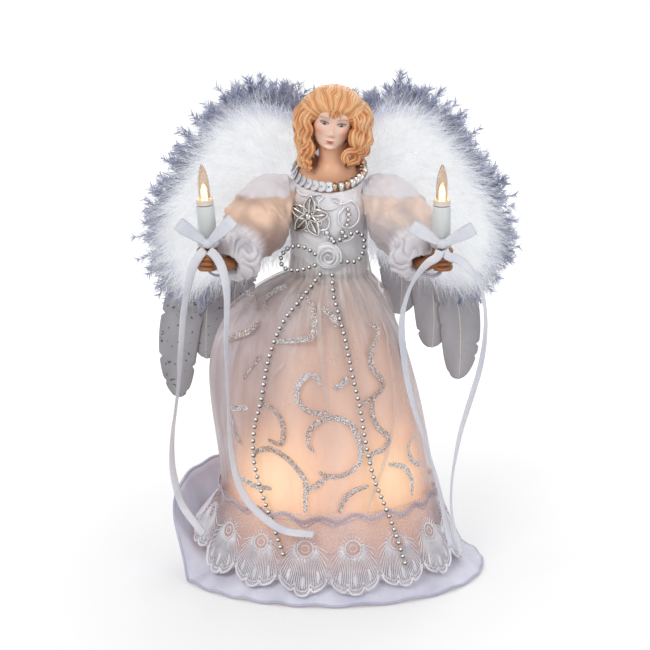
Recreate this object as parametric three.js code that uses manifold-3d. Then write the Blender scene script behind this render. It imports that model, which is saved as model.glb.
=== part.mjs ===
// Angel tree topper: a doll with two lit candles, a layered gown over a stiff cone and feathered wings.
// Millimetres, +Z up. The angel faces -Y, and left and right are as seen from the front.
import * as THREE from 'three';
import { LoftGeometry } from 'three/addons/geometries/LoftGeometry.js';
import { mergeVertices } from 'three/addons/utils/BufferGeometryUtils.js';
import Module from 'manifold-3d';

const wasm = await Module();
wasm.setup();

// Clearance between pieces that seat on each other
const FIT_GAP = 0.3;

// Stiff skirt cone, the foot of the figure
const CONE_HEIGHT = 158;
const CONE_TOP_RADIUS = 14.5;
const CONE_BASE_HALF_WIDTH = 55;
const CONE_BASE_HALF_DEPTH = 49;
const CONE_WALL = 1.2;
const CONE_FOOT_WIDTH = 4;
const CONE_FOOT_THICKNESS = 1.6;
const BELL_RISE = 1.6;
const BELL_SWELL = 0.8;

// Satin underskirt and sheer overskirt
const SATIN_THICKNESS = 0.8;
const SATIN_HEM_HEIGHT = 2.5;
const ORGANZA_THICKNESS = 0.6;
const ORGANZA_HEM_HEIGHT = 18;
const ORGANZA_FOLDS = 10;
const ORGANZA_FOLD_DEPTH = 2.5;
const ORGANZA_GATHER = 0.15;
const FLARE_REACH = 38;
const FLARE_ANGLE = 185;
const FLARE_SWELL = 0.7;
const FLARE_FOOT_HEIGHT = 42;

// Lace hem and satin flounce with its raised train
const LACE_TOP_HEIGHT = 40;
const LACE_THICKNESS = 0.6;
const LACE_SPREAD_X = 13.5;
const LACE_SPREAD_Y = 5;
const LACE_SCALLOPS = 16;
const LACE_SCALLOP_SHARE = 0.2;
const LACE_CLEARANCE = 3.5;
const FLOUNCE_OVERHANG_X = 10;
const FLOUNCE_OVERHANG_Y = 1;
const FLOUNCE_THICKNESS = 1;
const FLOUNCE_RISE = 14;
const TRAIN_LIFT = 44;
const TRAIN_ANGLE = 130;
const TRAIN_SPREAD = 75;
const TRAIN_CURVE = 1.8;

// Tree socket on its lamp carrier
const CARRIER_HEIGHT = 30;
const CARRIER_THICKNESS = 1.5;
const SOCKET_LENGTH = 82;
const SOCKET_MOUTH_RADIUS = 14;
const SOCKET_TIP_RADIUS = 8.5;
const SOCKET_WALL = 1.3;

// Lamps inside the skirt
const LAMP_COUNT = 4;
const LAMP_RING_RADIUS = 30;
const LAMP_HOLDER_RADIUS = 4.6;
const LAMP_HOLDER_HEIGHT = 14;
const LAMP_HOLDER_FLANGE = 1.2;
const LAMP_NOSE_LENGTH = 3;
const LAMP_PLUG_RADIUS = 3.4;
const LAMP_PLUG_LENGTH = 10;
const LAMP_WIRE_RADIUS = 0.6;
const BULB_RADIUS = 2.9;
const BULB_HEIGHT = 17;

// Torso and bodice
const TORSO_HEIGHT = 42;
const TORSO_PLUG_DEPTH = 8;
const TORSO_SECTIONS = [
  { rise: 0, halfWidth: 17.5, halfDepth: 13 },
  { rise: 8, halfWidth: 17, halfDepth: 12.4 },
  { rise: 20, halfWidth: 17.6, halfDepth: 13.8 },
  { rise: 31, halfWidth: 18.5, halfDepth: 14.8 },
  { rise: 38, halfWidth: 17.8, halfDepth: 13.4 },
  { rise: TORSO_HEIGHT, halfWidth: 16, halfDepth: 12.6 },
];
const BODICE_THICKNESS = 1;
const BODICE_HEM_RISE = 2;
const NECKLINE_FRONT_RISE = 43.5;
const NECKLINE_BACK_RISE = 55;

// Head with its moulded hair and shoulder plate
const HEAD_RISE = 36.5;
const HEAD_X = 2;
const HEAD_Y = -2;
const HAIR_HALF_WIDTH = 16.6;
const HAIR_HALF_DEPTH = 14.5;
const HAIR_HALF_HEIGHT = 17.5;
const FACE_INSET = 2.2;
const NECK_RADIUS = 7.4;
const HEAD_TILT = 9;
const CURL_RADIUS = 2.7;

// Trim on the bodice
const SEQUIN_RADIUS = 2.7;
const SEQUIN_THICKNESS = 0.8;
const SEQUIN_COUNT = 12;
const SEQUIN_SLOPE = 40;
const SEQUINS_FROM = 266;
const SEQUINS_TO = 150;
const NECK_BEAD_RADIUS = 1.9;
const NECK_BEAD_PITCH = 3.6;
const NECK_BEADS_FROM = 280;
const NECK_BEADS_TO = 374;
const ROSE_RADIUS = 6.6;
const ROSE_HEIGHT = 5.5;
const ROSE_RISE = 12.5;
const ROSE_ANGLE = 269;
const BROOCH_RADIUS = 9.4;
const BROOCH_PETALS = 5;
const BROOCH_ANGLE = 241;
const BROOCH_RISE = 32;
const FILIGREE_RADIUS = 0.5;
const FILIGREE_ROUTE = [
  [-4.2, 41.6], [-2.6, 38.6], [0.5, 36.4], [4, 36.8], [5, 39.4], [7, 41.8], [10.2, 40.4], [12.4, 35.5],
  [11.8, 30.5], [8.4, 28], [5.4, 30], [6, 33], [8.6, 33.6],
];
const BEAD_RADIUS = 1.15;
const BEAD_NECK_RADIUS = 0.5;
const BEAD_PITCH = 3.9;

// Arms, sleeves and hands
const SHOULDER_DROP = 4.5;
const SHOULDER_Y = 1;
const ARM_WIRE_RADIUS = 1.1;
const ARM_WIRE_INSET = 6;
const SLEEVE_THICKNESS = 0.7;
const SLEEVE_SHOULDER_RADIUS = 9.5;
const SLEEVE_UPPER_RADIUS = 13;
const SLEEVE_PUFF_RADIUS = 15.5;
const SLEEVE_PUCKER = 0.06;
const SLEEVE_FOLDS = 6;
const CUFF_SEAM_RADIUS = 9.5;
const CUFF_RADIUS = 11;
const CUFF_MOUTH_RADIUS = 7;
const ELBOW_OUT = 36;
const ELBOW_FORWARD = 15;
const ELBOW_DROP = 10.5;
const WRIST_RADIUS = 3.3;
const WRIST_INWARD = 9;
const WRIST_BACK = 5;
const WRIST_BELOW = 4;
const HAND_Y = -45;
const HAND_DROP = 19;
const FIST_RADIUS = 6.2;
const FIST_HEIGHT = 11;
const FINGERS = 4;
const FINGER_BULGE = 0.5;
const LEAD_RADIUS = 0.55;

// Candles and their bulbs
const CANDLE_RADIUS = 4.35;
const CANDLE_LENGTH = 20.4;
const CANDLE_WALL = 1;
const CANDLE_FLOOR = 1.5;
const LEAD_HOLE_RADIUS = 1.9;
const HUSK_RADIUS = 4.15;
const HUSK_HEIGHT = 2.8;
const HUSK_PLUG_LENGTH = 11;
const HUSK_SEAT_DEPTH = 1.8;
const GLASS_WALL = 0.45;
const FILAMENT_RADIUS = 0.3;
const FILAMENT_HEIGHT = 8;
const FILAMENT_SPREAD = 0.9;

// Ribbons
const RIBBON_WIDTH = 4.4;
const RIBBON_THICKNESS = 0.5;
const BOW_LOOP_LENGTH = 17;
const BOW_LOOP_DEPTH = 2;
const KNOT_RADIUS = 2.6;

// Wings
const MARABOU_DEPTH = 12;
const MARABOU_ROUNDING = 3;
const TINSEL_REACH = 9;
const TINSEL_SPIKES = 28;
const TINSEL_BAND = 12;
const TINSEL_THICKNESS = 0.8;
const FEATHER_THICKNESS = 0.8;
const FEATHER_WIDTH = 21;
const BOARD_THICKNESS = 1.5;
const BOARD_SHARE = 0.78;
const WING_INNER_X = 4.6;
const WING_SEAT_ANGLE = 76;

// Outline of a right wing's marabou, X from the middle of the back and height above the waist
const WING_OUTLINE = [
  [WING_INNER_X, 66], [16, 75], [36, 80], [52, 72], [66, 53], [80, 30],
  [84, 7], [75, -12], [60, -10], [42, 0], [22, 9], [WING_INNER_X, 18],
];

// What differs between the two sides. Ribbon tails are given from the middle of the fist.
const SIDES = [
  {
    name: 'left',
    sign: -1,
    reach: 57.5,
    candleLean: 4,
    bowLoops: [140, 40],
    feathers: [
      { base: [-40, 14], tip: [-49, -32] },
      { base: [-52, 11], tip: [-64, -56] },
      { base: [-64, 6], tip: [-79, -77] },
    ],
    loop: [
      [-6.85, -19.2, 14], [-11, -18.8, 16.8], [-16, -17.4, 17.6], [-21, -15.6, 15.4], [-23.8, -15, 10.6],
      [-22.6, -15.8, 6.4], [-15.5, -17.8, 5.4], [-7, -19.6, 8.4],
    ],
    stringTop: [-4.5, -20, 3.8],
    stringRoute: [
      [240, 151], [231, 141], [228, 128], [227, 115], [227, 101], [225, 87],
      [226, 72], [232, 57], [239, 44], [246, 33], [249, 27],
    ],
    tails: {
      inner: [
        [0.5, -7.35, 6.2], [3, -8, 4.2], [6, -8, -0.8], [8.6, -8.5, -12.3],
        [8.7, -8.5, -25.3], [8.1, -8.5, -38.1], [8.3, -8.5, -49.8], [8.6, -8.5, -61.8],
        [8.9, -8.5, -73.8], [9.2, -8.5, -84.8], [10.1, -8.5, -96.8], [12.5, -7.8, -109.8],
        [16.5, -6, -120.3], [21, -5, -126.8], [26.2, -5, -131.8], [35.2, -7.4, -136.8], [50, -11, -137.5],
      ],
      outer: [
        [-1.5, -6.35, 6.2], [-4, -6.8, 3.7], [-7.5, -6, -2.8], [-10, -5, -13.3],
        [-12.5, -3.5, -26.8], [-13.7, -2, -40.3], [-14.7, -0.5, -53.3], [-16.1, 0.5, -65.8],
        [-17.7, 1.5, -77.8], [-19.2, 2.5, -87.8], [-20, 3.5, -97.8], [-20, 5, -108.8],
        [-18.3, 6, -119.8], [-15.5, 6.5, -129.3], [-5, 4, -143.8],
      ],
    },
  },
  {
    name: 'right',
    sign: 1,
    reach: 53.5,
    candleLean: 0,
    bowLoops: [28, 148],
    feathers: [
      { base: [32, 14], tip: [37, -32] },
      { base: [46, 11], tip: [54, -50] },
      { base: [58, 6], tip: [68, -67] },
    ],
    loop: [
      [2.3, -18.6, 20], [6.2, -18.2, 21.4], [10.5, -17.6, 23.8], [14.8, -16.2, 24.2], [17.2, -15, 19.5],
      [16.8, -15.4, 14.5], [13.8, -17, 10], [5.95, -16.9, 9.6],
    ],
    stringTop: [1.5, -20.4, 3.6],
    stringRoute: [
      [275, 153], [279, 145], [284, 130], [287, 115], [290, 100], [292, 80],
      [295, 63], [300, 49], [303, 37], [304.5, 20],
    ],
    tails: {
      inner: [
        [-0.9, -7.35, 6.2], [-2.1, -7.9, 3.2], [-6.5, -8, 0.2], [-11.9, -8, -6.3],
        [-15.5, -8, -13.8], [-18.3, -8, -24.8], [-18.7, -8, -33.8], [-17.5, -8, -45.8],
        [-15.1, -8, -60.8], [-11.9, -8, -73.8], [-8, -8.2, -85.8], [-4.5, -8.6, -97.3],
        [-1, -9, -108.8], [1.9, -9.5, -120.8], [4.3, -10, -132.8], [7, -10.5, -143.8],
      ],
      outer: [
        [1.1, -6.35, 6.2], [2.7, -6.9, 3.4], [8.5, -6.7, 1.2], [15.5, -6.5, -5.8],
        [19.7, -6.4, -14.8], [21.5, -6.2, -26.8], [21.2, -6, -40.8], [18.9, -5.8, -55.3],
        [16.1, -5.6, -65.8], [13.3, -5.6, -75.8], [10.7, -5.6, -85.8], [8.7, -5.8, -96.8],
        [6.9, -6, -110.8], [6.7, -6.6, -124.8], [8.5, -7.4, -136.8], [12.5, -8, -148.8],
      ],
    },
  },
];

// Heights and widths that follow from the sizes above
const WAIST = CONE_HEIGHT + FIT_GAP;
const TORSO_TOP = WAIST + TORSO_HEIGHT;
const SHOULDER_HEIGHT = TORSO_TOP - SHOULDER_DROP;
const CARRIER_TOP = CARRIER_HEIGHT + CARRIER_THICKNESS;
const SATIN_OUT = FIT_GAP + SATIN_THICKNESS;
const ORGANZA_OUT = SATIN_OUT + FIT_GAP + ORGANZA_THICKNESS;
const FLARE_END = (CONE_HEIGHT - FLARE_FOOT_HEIGHT) / CONE_HEIGHT;

// Numbers of facets
const SKIRT_STEPS = 28;
const ORGANZA_STEPS = ORGANZA_FOLDS * 4;
const LACE_STEPS = LACE_SCALLOPS * 4;
const FLOUNCE_STEPS = 40;
const TORSO_STEPS = 20;
const SLEEVE_STEPS = SLEEVE_FOLDS * 3;
const SMALL_STEPS = 10;

const vec = (x, y, z) => new THREE.Vector3(x, y, z);
const polar = (radius, angle, z = 0) => vec(radius * Math.cos(angle), radius * Math.sin(angle), z);
const radians = THREE.MathUtils.degToRad;
const mix = THREE.MathUtils.lerp;
const FULL_TURN = 2 * Math.PI;

// Evenly spaced shares from 0 to 1.
function shares(count) {
  return Array.from({ length: count + 1 }, (_, i) => i / count);
}

// One closed ring of points, from a function of the angle.
function ring(steps, pointAt) {
  return Array.from({ length: steps }, (_, i) => pointAt((FULL_TURN * i) / steps));
}

// A welded surface without collapsed faces, turned so that its faces point out.
function outward(geometry) {
  const bare = new THREE.BufferGeometry().setAttribute('position', geometry.getAttribute('position').clone());
  if (geometry.index) bare.setIndex(geometry.index.clone());
  const welded = mergeVertices(bare);
  const at = (i) => new THREE.Vector3().fromBufferAttribute(welded.attributes.position, i);
  const faces = [];
  let volume = 0;
  for (let i = 0; i < welded.index.count; i += 3) {
    const [a, b, c] = [0, 1, 2].map((k) => welded.index.getX(i + k));
    if (a === b || b === c || a === c) continue;
    faces.push([a, b, c]);
    volume += at(a).dot(at(b).cross(at(c)));
  }
  const facing = volume < 0 ? faces.map(([a, b, c]) => [a, c, b]) : faces;
  return welded.setIndex(facing.flat());
}

// A tube-like wall between two stacks of rings, open at both ends.
function wallBetween(outside, inside) {
  return outward(new LoftGeometry([...outside, ...inside.toReversed(), outside[0]]));
}

// Middle of a ring of points.
function middleOf(points) {
  return points.reduce((sum, point) => sum.add(point), vec(0, 0, 0)).divideScalar(points.length);
}

// A solid skinned over a stack of rings and closed at both ends. Its rings are turned to wind round its run.
function solidThrough(rings) {
  const [first, second] = rings;
  const middle = middleOf(first);
  const arm = (i) => first[i % first.length].clone().sub(middle);
  const winding = first.reduce((sum, _, i) => sum.add(arm(i).cross(arm(i + 1))), vec(0, 0, 0));
  const forward = winding.dot(middleOf(second).sub(middle)) > 0;
  const wound = forward ? rings : rings.map((points) => points.toReversed());
  return outward(new LoftGeometry(wound, { capStart: true, capEnd: true }));
}

function toManifold(geometry) {
  const mesh = outward(geometry);
  const vertProperties = mesh.attributes.position.array;
  const triVerts = new Uint32Array(mesh.index.array);
  return new wasm.Manifold(new wasm.Mesh({ numProp: 3, vertProperties, triVerts }));
}

function toGeometry(solid) {
  const { vertProperties, triVerts } = solid.getMesh();
  const geometry = new THREE.BufferGeometry();
  geometry.setAttribute('position', new THREE.BufferAttribute(new Float32Array(vertProperties), 3));
  return geometry.setIndex(Array.from(triVerts));
}

function join(...pieces) {
  return toGeometry(pieces.map(toManifold).reduce((whole, piece) => whole.add(piece)));
}

function cut(piece, ...tools) {
  return toGeometry(tools.map(toManifold).reduce((rest, tool) => rest.subtract(tool), toManifold(piece)));
}

// A turned solid about the Z axis from [radius, height] points.
function turned(profile, steps = SMALL_STEPS) {
  const points = profile.map(([radius, height]) => new THREE.Vector2(radius, height));
  return outward(new THREE.LatheGeometry(points, steps).rotateX(Math.PI / 2));
}

// A turned ring, whose profile closes on itself.
function turnedRing(profile, steps = SMALL_STEPS) {
  return turned([...profile, profile[0]], steps);
}

// A round wire along a curve.
function wire(points, radius, sides, steps) {
  const section = new THREE.Shape(ring(sides, (angle) => polar(radius, angle)));
  const extrudePath = new THREE.CatmullRomCurve3(points);
  return outward(new THREE.ExtrudeGeometry(section, { steps, extrudePath }));
}

// A flat strip along a curve, with its width square to the path and to the way it faces.
function strip(points, facing, steps) {
  const path = new THREE.CatmullRomCurve3(points);
  const rings = shares(steps).map((share) => {
    const tangent = path.getTangentAt(share);
    const across = tangent.clone().cross(facing).setLength(RIBBON_WIDTH / 2);
    const through = across.clone().cross(tangent).setLength(RIBBON_THICKNESS / 2);
    const centre = path.getPointAt(share);
    return [[1, 1], [-1, 1], [-1, -1], [1, -1]].map(([u, v]) =>
      centre.clone().addScaledVector(across, u).addScaledVector(through, v));
  });
  return solidThrough(rings);
}

// A flat plate in the XZ plane, from a near to a far Y.
function plate(outline, near, thickness, rounding = 0) {
  const options = {
    depth: thickness - 2 * rounding,
    bevelEnabled: rounding > 0,
    bevelThickness: rounding,
    bevelSize: rounding,
    bevelOffset: -rounding,
    bevelSegments: 2,
    curveSegments: 6,
  };
  const geometry = new THREE.ExtrudeGeometry(outline, options);
  return outward(geometry.rotateX(Math.PI / 2).translate(0, near + thickness - rounding, 0));
}

// Share of the cone's spread that is left at a height: 1 on the floor, 0 at the waist.
function bell(z) {
  const climb = THREE.MathUtils.clamp(z / CONE_HEIGHT, 0, 1);
  return Math.pow(1 - Math.pow(climb, BELL_RISE), BELL_SWELL);
}

// A point at a distance outside the cone.
function aroundCone(angle, z, out) {
  const halfWidth = mix(CONE_TOP_RADIUS, CONE_BASE_HALF_WIDTH, bell(z)) + out;
  const halfDepth = mix(CONE_TOP_RADIUS, CONE_BASE_HALF_DEPTH, bell(z)) + out;
  return vec(halfWidth * Math.cos(angle), halfDepth * Math.sin(angle), z);
}

// Rows of a skirt layer, shared by the cone and the satin so that their facets run side by side.
function skirtRows(hem, top) {
  return [hem, CARRIER_TOP, ...[0.45, 0.7, 0.88].map((share) => share * CONE_HEIGHT), top];
}

function skirtCone() {
  const layer = (hem, out) => skirtRows(hem, CONE_HEIGHT).map((z) =>
    ring(SKIRT_STEPS, (angle) => aroundCone(angle, z, out)));
  const footEdge = -CONE_WALL - CONE_FOOT_WIDTH;
  const footTop = ring(SKIRT_STEPS, (angle) => aroundCone(angle, CONE_FOOT_THICKNESS, footEdge));
  const footBottom = footTop.map((point) => vec(point.x, point.y, 0));
  return wallBetween(layer(0, 0), [footBottom, footTop, ...layer(CONE_FOOT_THICKNESS, -CONE_WALL)]);
}

function satinUnderskirt() {
  const layer = (out) => skirtRows(SATIN_HEM_HEIGHT, CONE_HEIGHT - SATIN_THICKNESS).map((z) =>
    ring(SKIRT_STEPS, (angle) => aroundCone(angle, z, out)));
  return wallBetween(layer(SATIN_OUT), layer(FIT_GAP));
}

// How deep the overskirt's folds are at a height.
function foldDepth(z) {
  return ORGANZA_FOLD_DEPTH * (1 - z / CONE_HEIGHT + ORGANZA_GATHER);
}

// How far the overskirt swings out at its loose side.
function flare(angle, z) {
  const drop = THREE.MathUtils.clamp((CONE_HEIGHT - z) / CONE_HEIGHT, 0, 1);
  const swell = Math.sin(Math.PI * Math.pow(drop, FLARE_SWELL)) * Math.max(0, 1 - drop / FLARE_END);
  return FLARE_REACH * swell * Math.pow(Math.max(0, Math.cos(angle - radians(FLARE_ANGLE))), 4);
}

// Distance of the overskirt's fold crests outside the cone.
function organzaCrest(angle, z) {
  return ORGANZA_OUT + foldDepth(z) + flare(angle, z);
}

function organzaOverskirt() {
  const upper = [0, 0.25, 0.5, 0.75, 0.9, 1].map((share) => mix(FLARE_FOOT_HEIGHT, CONE_HEIGHT, share));
  const rows = [ORGANZA_HEM_HEIGHT, ...upper];
  const fold = (angle, z) => (foldDepth(z) * (1 - Math.cos(ORGANZA_FOLDS * angle))) / 2;
  const layer = (inset) => rows.map((z) => ring(ORGANZA_STEPS, (angle) =>
    aroundCone(angle, z, organzaCrest(angle, z) - fold(angle, z) - inset)));
  return wallBetween(layer(0), layer(ORGANZA_THICKNESS));
}

// Height that the flounce's rim is raised to at the train.
function trainLift(angle) {
  const away = Math.acos(Math.cos(angle - radians(TRAIN_ANGLE)));
  const share = Math.min(away / radians(TRAIN_SPREAD), 1);
  return TRAIN_LIFT * Math.sqrt(Math.max(0, Math.cos((Math.PI / 2) * share)));
}

// The lace's top edge, just outside the overskirt's folds.
function laceTop(angle, inset) {
  const crest = ORGANZA_OUT + foldDepth(LACE_TOP_HEIGHT) + FIT_GAP + LACE_THICKNESS - inset;
  return aroundCone(angle, LACE_TOP_HEIGHT, crest);
}

// A point on a level ellipse round the lace's top edge.
function beyondLace(angle, outX, outY) {
  return laceTop(angle, 0).add(vec(outX * Math.cos(angle), outY * Math.sin(angle), 0)).setZ(0);
}

// A point on the flounce's upper side: share 0 at the skirt, 1 at the rim.
function onFlounce(angle, share) {
  const seam = aroundCone(angle, FLOUNCE_RISE, SATIN_OUT + FIT_GAP);
  const rim = beyondLace(angle, LACE_SPREAD_X + FLOUNCE_OVERHANG_X, LACE_SPREAD_Y + FLOUNCE_OVERHANG_Y);
  const x = mix(seam.x, rim.x, share);
  const y = mix(seam.y, rim.y, share);
  const fall = FLOUNCE_RISE * Math.pow(1 - share, 1.5);
  return vec(x, y, FLOUNCE_THICKNESS + fall + trainLift(angle) * Math.pow(share, TRAIN_CURVE));
}

function satinFlounce() {
  const upper = shares(3).map((share) => ring(FLOUNCE_STEPS, (angle) => onFlounce(angle, share)));
  const lower = upper.map((points) => points.map((p) => vec(p.x, p.y, p.z - FLOUNCE_THICKNESS)));
  return wallBetween(upper, lower);
}

// A point on the lace's outside: share 0 at its top edge, 1 at the tips of its scallops.
function onLace(angle, share, inset = 0) {
  const top = laceTop(angle, inset);
  const x = top.x + LACE_SPREAD_X * Math.cos(angle) * share;
  const y = top.y + LACE_SPREAD_Y * Math.sin(angle) * share;
  const tip = beyondLace(angle, LACE_SPREAD_X, LACE_SPREAD_Y).length();
  const seam = onFlounce(angle, 0).setZ(0).length();
  const rim = onFlounce(angle, 1).setZ(0).length();
  const rest = onFlounce(angle, Math.min(1, (tip - seam) / (rim - seam))).z + LACE_CLEARANCE;
  return vec(x, y, mix(LACE_TOP_HEIGHT, rest, share));
}

function laceHem() {
  const reach = (angle) => 1 - LACE_SCALLOP_SHARE * (1 - Math.abs(Math.sin((LACE_SCALLOPS * angle) / 2)));
  const layer = (inset) => shares(2).map((share) =>
    ring(LACE_STEPS, (angle) => onLace(angle, share * reach(angle), inset)));
  return wallBetween(layer(0), layer(LACE_THICKNESS));
}

// A lamp's place on the carrier.
function lampPlace(index) {
  return polar(LAMP_RING_RADIUS, (FULL_TURN * (index + 0.5)) / LAMP_COUNT, CARRIER_TOP);
}

// Carrier plate across the cone with lamp holes, and the tapered socket that goes over the tree's tip.
function treeSocket() {
  const inside = -CONE_WALL - FIT_GAP;
  const outline = new THREE.Shape(ring(SKIRT_STEPS, (angle) => aroundCone(angle, CARRIER_TOP, inside)));
  const circle = (place, radius, steps) => ring(steps, (angle) => polar(radius, angle).add(place));
  const hole = (place, radius, steps) => new THREE.Path(circle(place, radius, steps));
  const lamps = Array.from({ length: LAMP_COUNT }, (_, i) => lampPlace(i));
  outline.holes = lamps.map((place) => hole(place, LAMP_HOLDER_RADIUS, SMALL_STEPS));
  outline.holes.push(hole(vec(0, 0, 0), SOCKET_MOUTH_RADIUS + SOCKET_WALL / 2, TORSO_STEPS));
  const carrier = new THREE.ExtrudeGeometry(outline, { depth: CARRIER_THICKNESS, bevelEnabled: false });
  const socket = turnedRing([
    [SOCKET_MOUTH_RADIUS, 0],
    [SOCKET_MOUTH_RADIUS + SOCKET_WALL, 0],
    [SOCKET_TIP_RADIUS + SOCKET_WALL, SOCKET_LENGTH],
    [SOCKET_TIP_RADIUS, SOCKET_LENGTH],
  ], TORSO_STEPS);
  return join(carrier, socket).translate(0, 0, CARRIER_HEIGHT);
}

function lampHolder() {
  const nose = LAMP_HOLDER_RADIUS - FIT_GAP;
  const flange = LAMP_HOLDER_RADIUS + LAMP_HOLDER_FLANGE;
  const bore = LAMP_PLUG_RADIUS + FIT_GAP;
  const floor = LAMP_HOLDER_HEIGHT - LAMP_PLUG_LENGTH - FIT_GAP;
  const foot = FIT_GAP / 2;
  return turned([
    [0, -LAMP_NOSE_LENGTH], [nose, -LAMP_NOSE_LENGTH], [nose, foot], [flange, foot],
    [flange, LAMP_HOLDER_FLANGE], [LAMP_HOLDER_RADIUS, LAMP_HOLDER_FLANGE],
    [LAMP_HOLDER_RADIUS, LAMP_HOLDER_HEIGHT], [bore, LAMP_HOLDER_HEIGHT], [bore, floor], [0, floor],
  ]);
}

// Bulb with its push-in base, from the holder's rim upwards.
function skirtBulb() {
  const cap = FIT_GAP + HUSK_HEIGHT;
  return turned([
    [0, -LAMP_PLUG_LENGTH], [LAMP_PLUG_RADIUS, -LAMP_PLUG_LENGTH], [LAMP_PLUG_RADIUS, FIT_GAP],
    [HUSK_RADIUS, FIT_GAP], [HUSK_RADIUS, cap], [BULB_RADIUS, cap], [BULB_RADIUS, cap + 0.55 * BULB_HEIGHT],
    [0.6 * BULB_RADIUS, cap + 0.82 * BULB_HEIGHT], [0, cap + BULB_HEIGHT],
  ], 8);
}

function lampWiring() {
  const radius = LAMP_RING_RADIUS - LAMP_HOLDER_RADIUS - LAMP_HOLDER_FLANGE - FIT_GAP - LAMP_WIRE_RADIUS;
  const loop = new THREE.TorusGeometry(radius, LAMP_WIRE_RADIUS, 4, 20);
  return outward(loop.translate(0, 0, CARRIER_TOP + FIT_GAP + LAMP_WIRE_RADIUS));
}

// Half width and half depth of the torso at a height above the waist.
function torsoSize(rise) {
  const next = TORSO_SECTIONS.findIndex((section) => section.rise >= rise);
  if (next === 0) return TORSO_SECTIONS[0];
  if (next < 0) return TORSO_SECTIONS.at(-1);
  const [low, high] = [TORSO_SECTIONS[next - 1], TORSO_SECTIONS[next]];
  const share = (rise - low.rise) / (high.rise - low.rise);
  return {
    halfWidth: mix(low.halfWidth, high.halfWidth, share),
    halfDepth: mix(low.halfDepth, high.halfDepth, share),
  };
}

// A point at a distance outside the torso.
function aroundTorso(angle, rise, out) {
  const { halfWidth, halfDepth } = torsoSize(rise);
  return vec((halfWidth + out) * Math.cos(angle), (halfDepth + out) * Math.sin(angle), WAIST + rise);
}

// A bore along X through the shoulders for the arm wires.
function shoulderBore() {
  const span = 3 * TORSO_SECTIONS.at(-1).halfWidth;
  const radius = ARM_WIRE_RADIUS + FIT_GAP;
  const bore = new THREE.CylinderGeometry(radius, radius, span, SMALL_STEPS);
  return bore.rotateZ(Math.PI / 2).translate(0, SHOULDER_Y, SHOULDER_HEIGHT);
}

function torsoForm() {
  const plugRadius = CONE_TOP_RADIUS - CONE_WALL - FIT_GAP;
  const plugRing = (z) => ring(TORSO_STEPS, (angle) => polar(plugRadius, angle, z));
  const body = TORSO_SECTIONS.map(({ rise }) => ring(TORSO_STEPS, (angle) => aroundTorso(angle, rise, 0)));
  const whole = solidThrough([plugRing(CONE_HEIGHT - TORSO_PLUG_DEPTH), plugRing(WAIST), ...body]);
  return cut(whole, shoulderBore());
}

// Height of the neckline above the waist: low in front, high behind.
function necklineRise(angle) {
  return mix(NECKLINE_FRONT_RISE, NECKLINE_BACK_RISE, (1 + Math.sin(angle)) / 2);
}

// A point on the bodice's outside, lifted off it by a distance.
function onBodice(angle, rise, lift = 0) {
  return aroundTorso(angle, rise, FIT_GAP + BODICE_THICKNESS + lift);
}

function bodice() {
  const rows = [BODICE_HEM_RISE, ...TORSO_SECTIONS.slice(1).map(({ rise }) => rise)];
  const layer = (out) => [
    ...rows.map((rise) => ring(TORSO_STEPS, (angle) => aroundTorso(angle, rise, out))),
    ring(TORSO_STEPS, (angle) => aroundTorso(angle, necklineRise(angle), out)),
  ];
  return cut(wallBetween(layer(FIT_GAP + BODICE_THICKNESS), layer(FIT_GAP)), shoulderBore());
}

// Wavy hair strand that hangs from beside the face to the shoulder.
function hairStrand(x, y, top, bottom, sway) {
  const path = shares(5).map((share) => {
    const wave = sway * Math.sin(share * 1.5 * Math.PI);
    return vec(x + wave, y + 0.6 * Math.abs(wave), mix(top, bottom, share));
  });
  return wire(path, CURL_RADIUS, 6, 5);
}

// A rounded bump that is 1 in its middle and fades out at about 1 in either direction.
function bump(u, v) {
  return Math.exp(-u * u - v * v);
}

// Head and hair as one moulding: a waved cap of hair round a face with brow, nose and chin.
function headShape() {
  const shape = new THREE.SphereGeometry(1, 24, 16).rotateX(Math.PI / 2);
  const place = shape.attributes.position;
  for (let i = 0; i < place.count; i++) {
    const [x, y, z] = [place.getX(i), place.getY(i), place.getZ(i)];
    const faceShare = Math.hypot(x / 0.72, (z + 0.22) / 0.72);
    const onFace = y < 0 ? 1 - THREE.MathUtils.smoothstep(faceShare, 0.82, 1.08) : 0;
    const nose = 2 * bump(x / 0.13, (z + 0.22) / 0.2);
    const chin = 1.2 * bump(x / 0.25, (z + 0.72) / 0.16);
    const eyes = -0.7 * bump((Math.abs(x) - 0.33) / 0.18, (z + 0.06) / 0.12);
    const waves = 0.8 * Math.sin(7 * Math.atan2(x, -y) + 5 * z);
    const face = nose + chin + eyes - FACE_INSET;
    const out = 1 + mix(waves, face, onFace) / HAIR_HALF_WIDTH;
    place.setXYZ(i, x * HAIR_HALF_WIDTH * out, y * HAIR_HALF_DEPTH * out, z * HAIR_HALF_HEIGHT * out);
  }
  return outward(shape).rotateY(radians(HEAD_TILT)).translate(HEAD_X, HEAD_Y, TORSO_TOP + HEAD_RISE);
}

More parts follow.
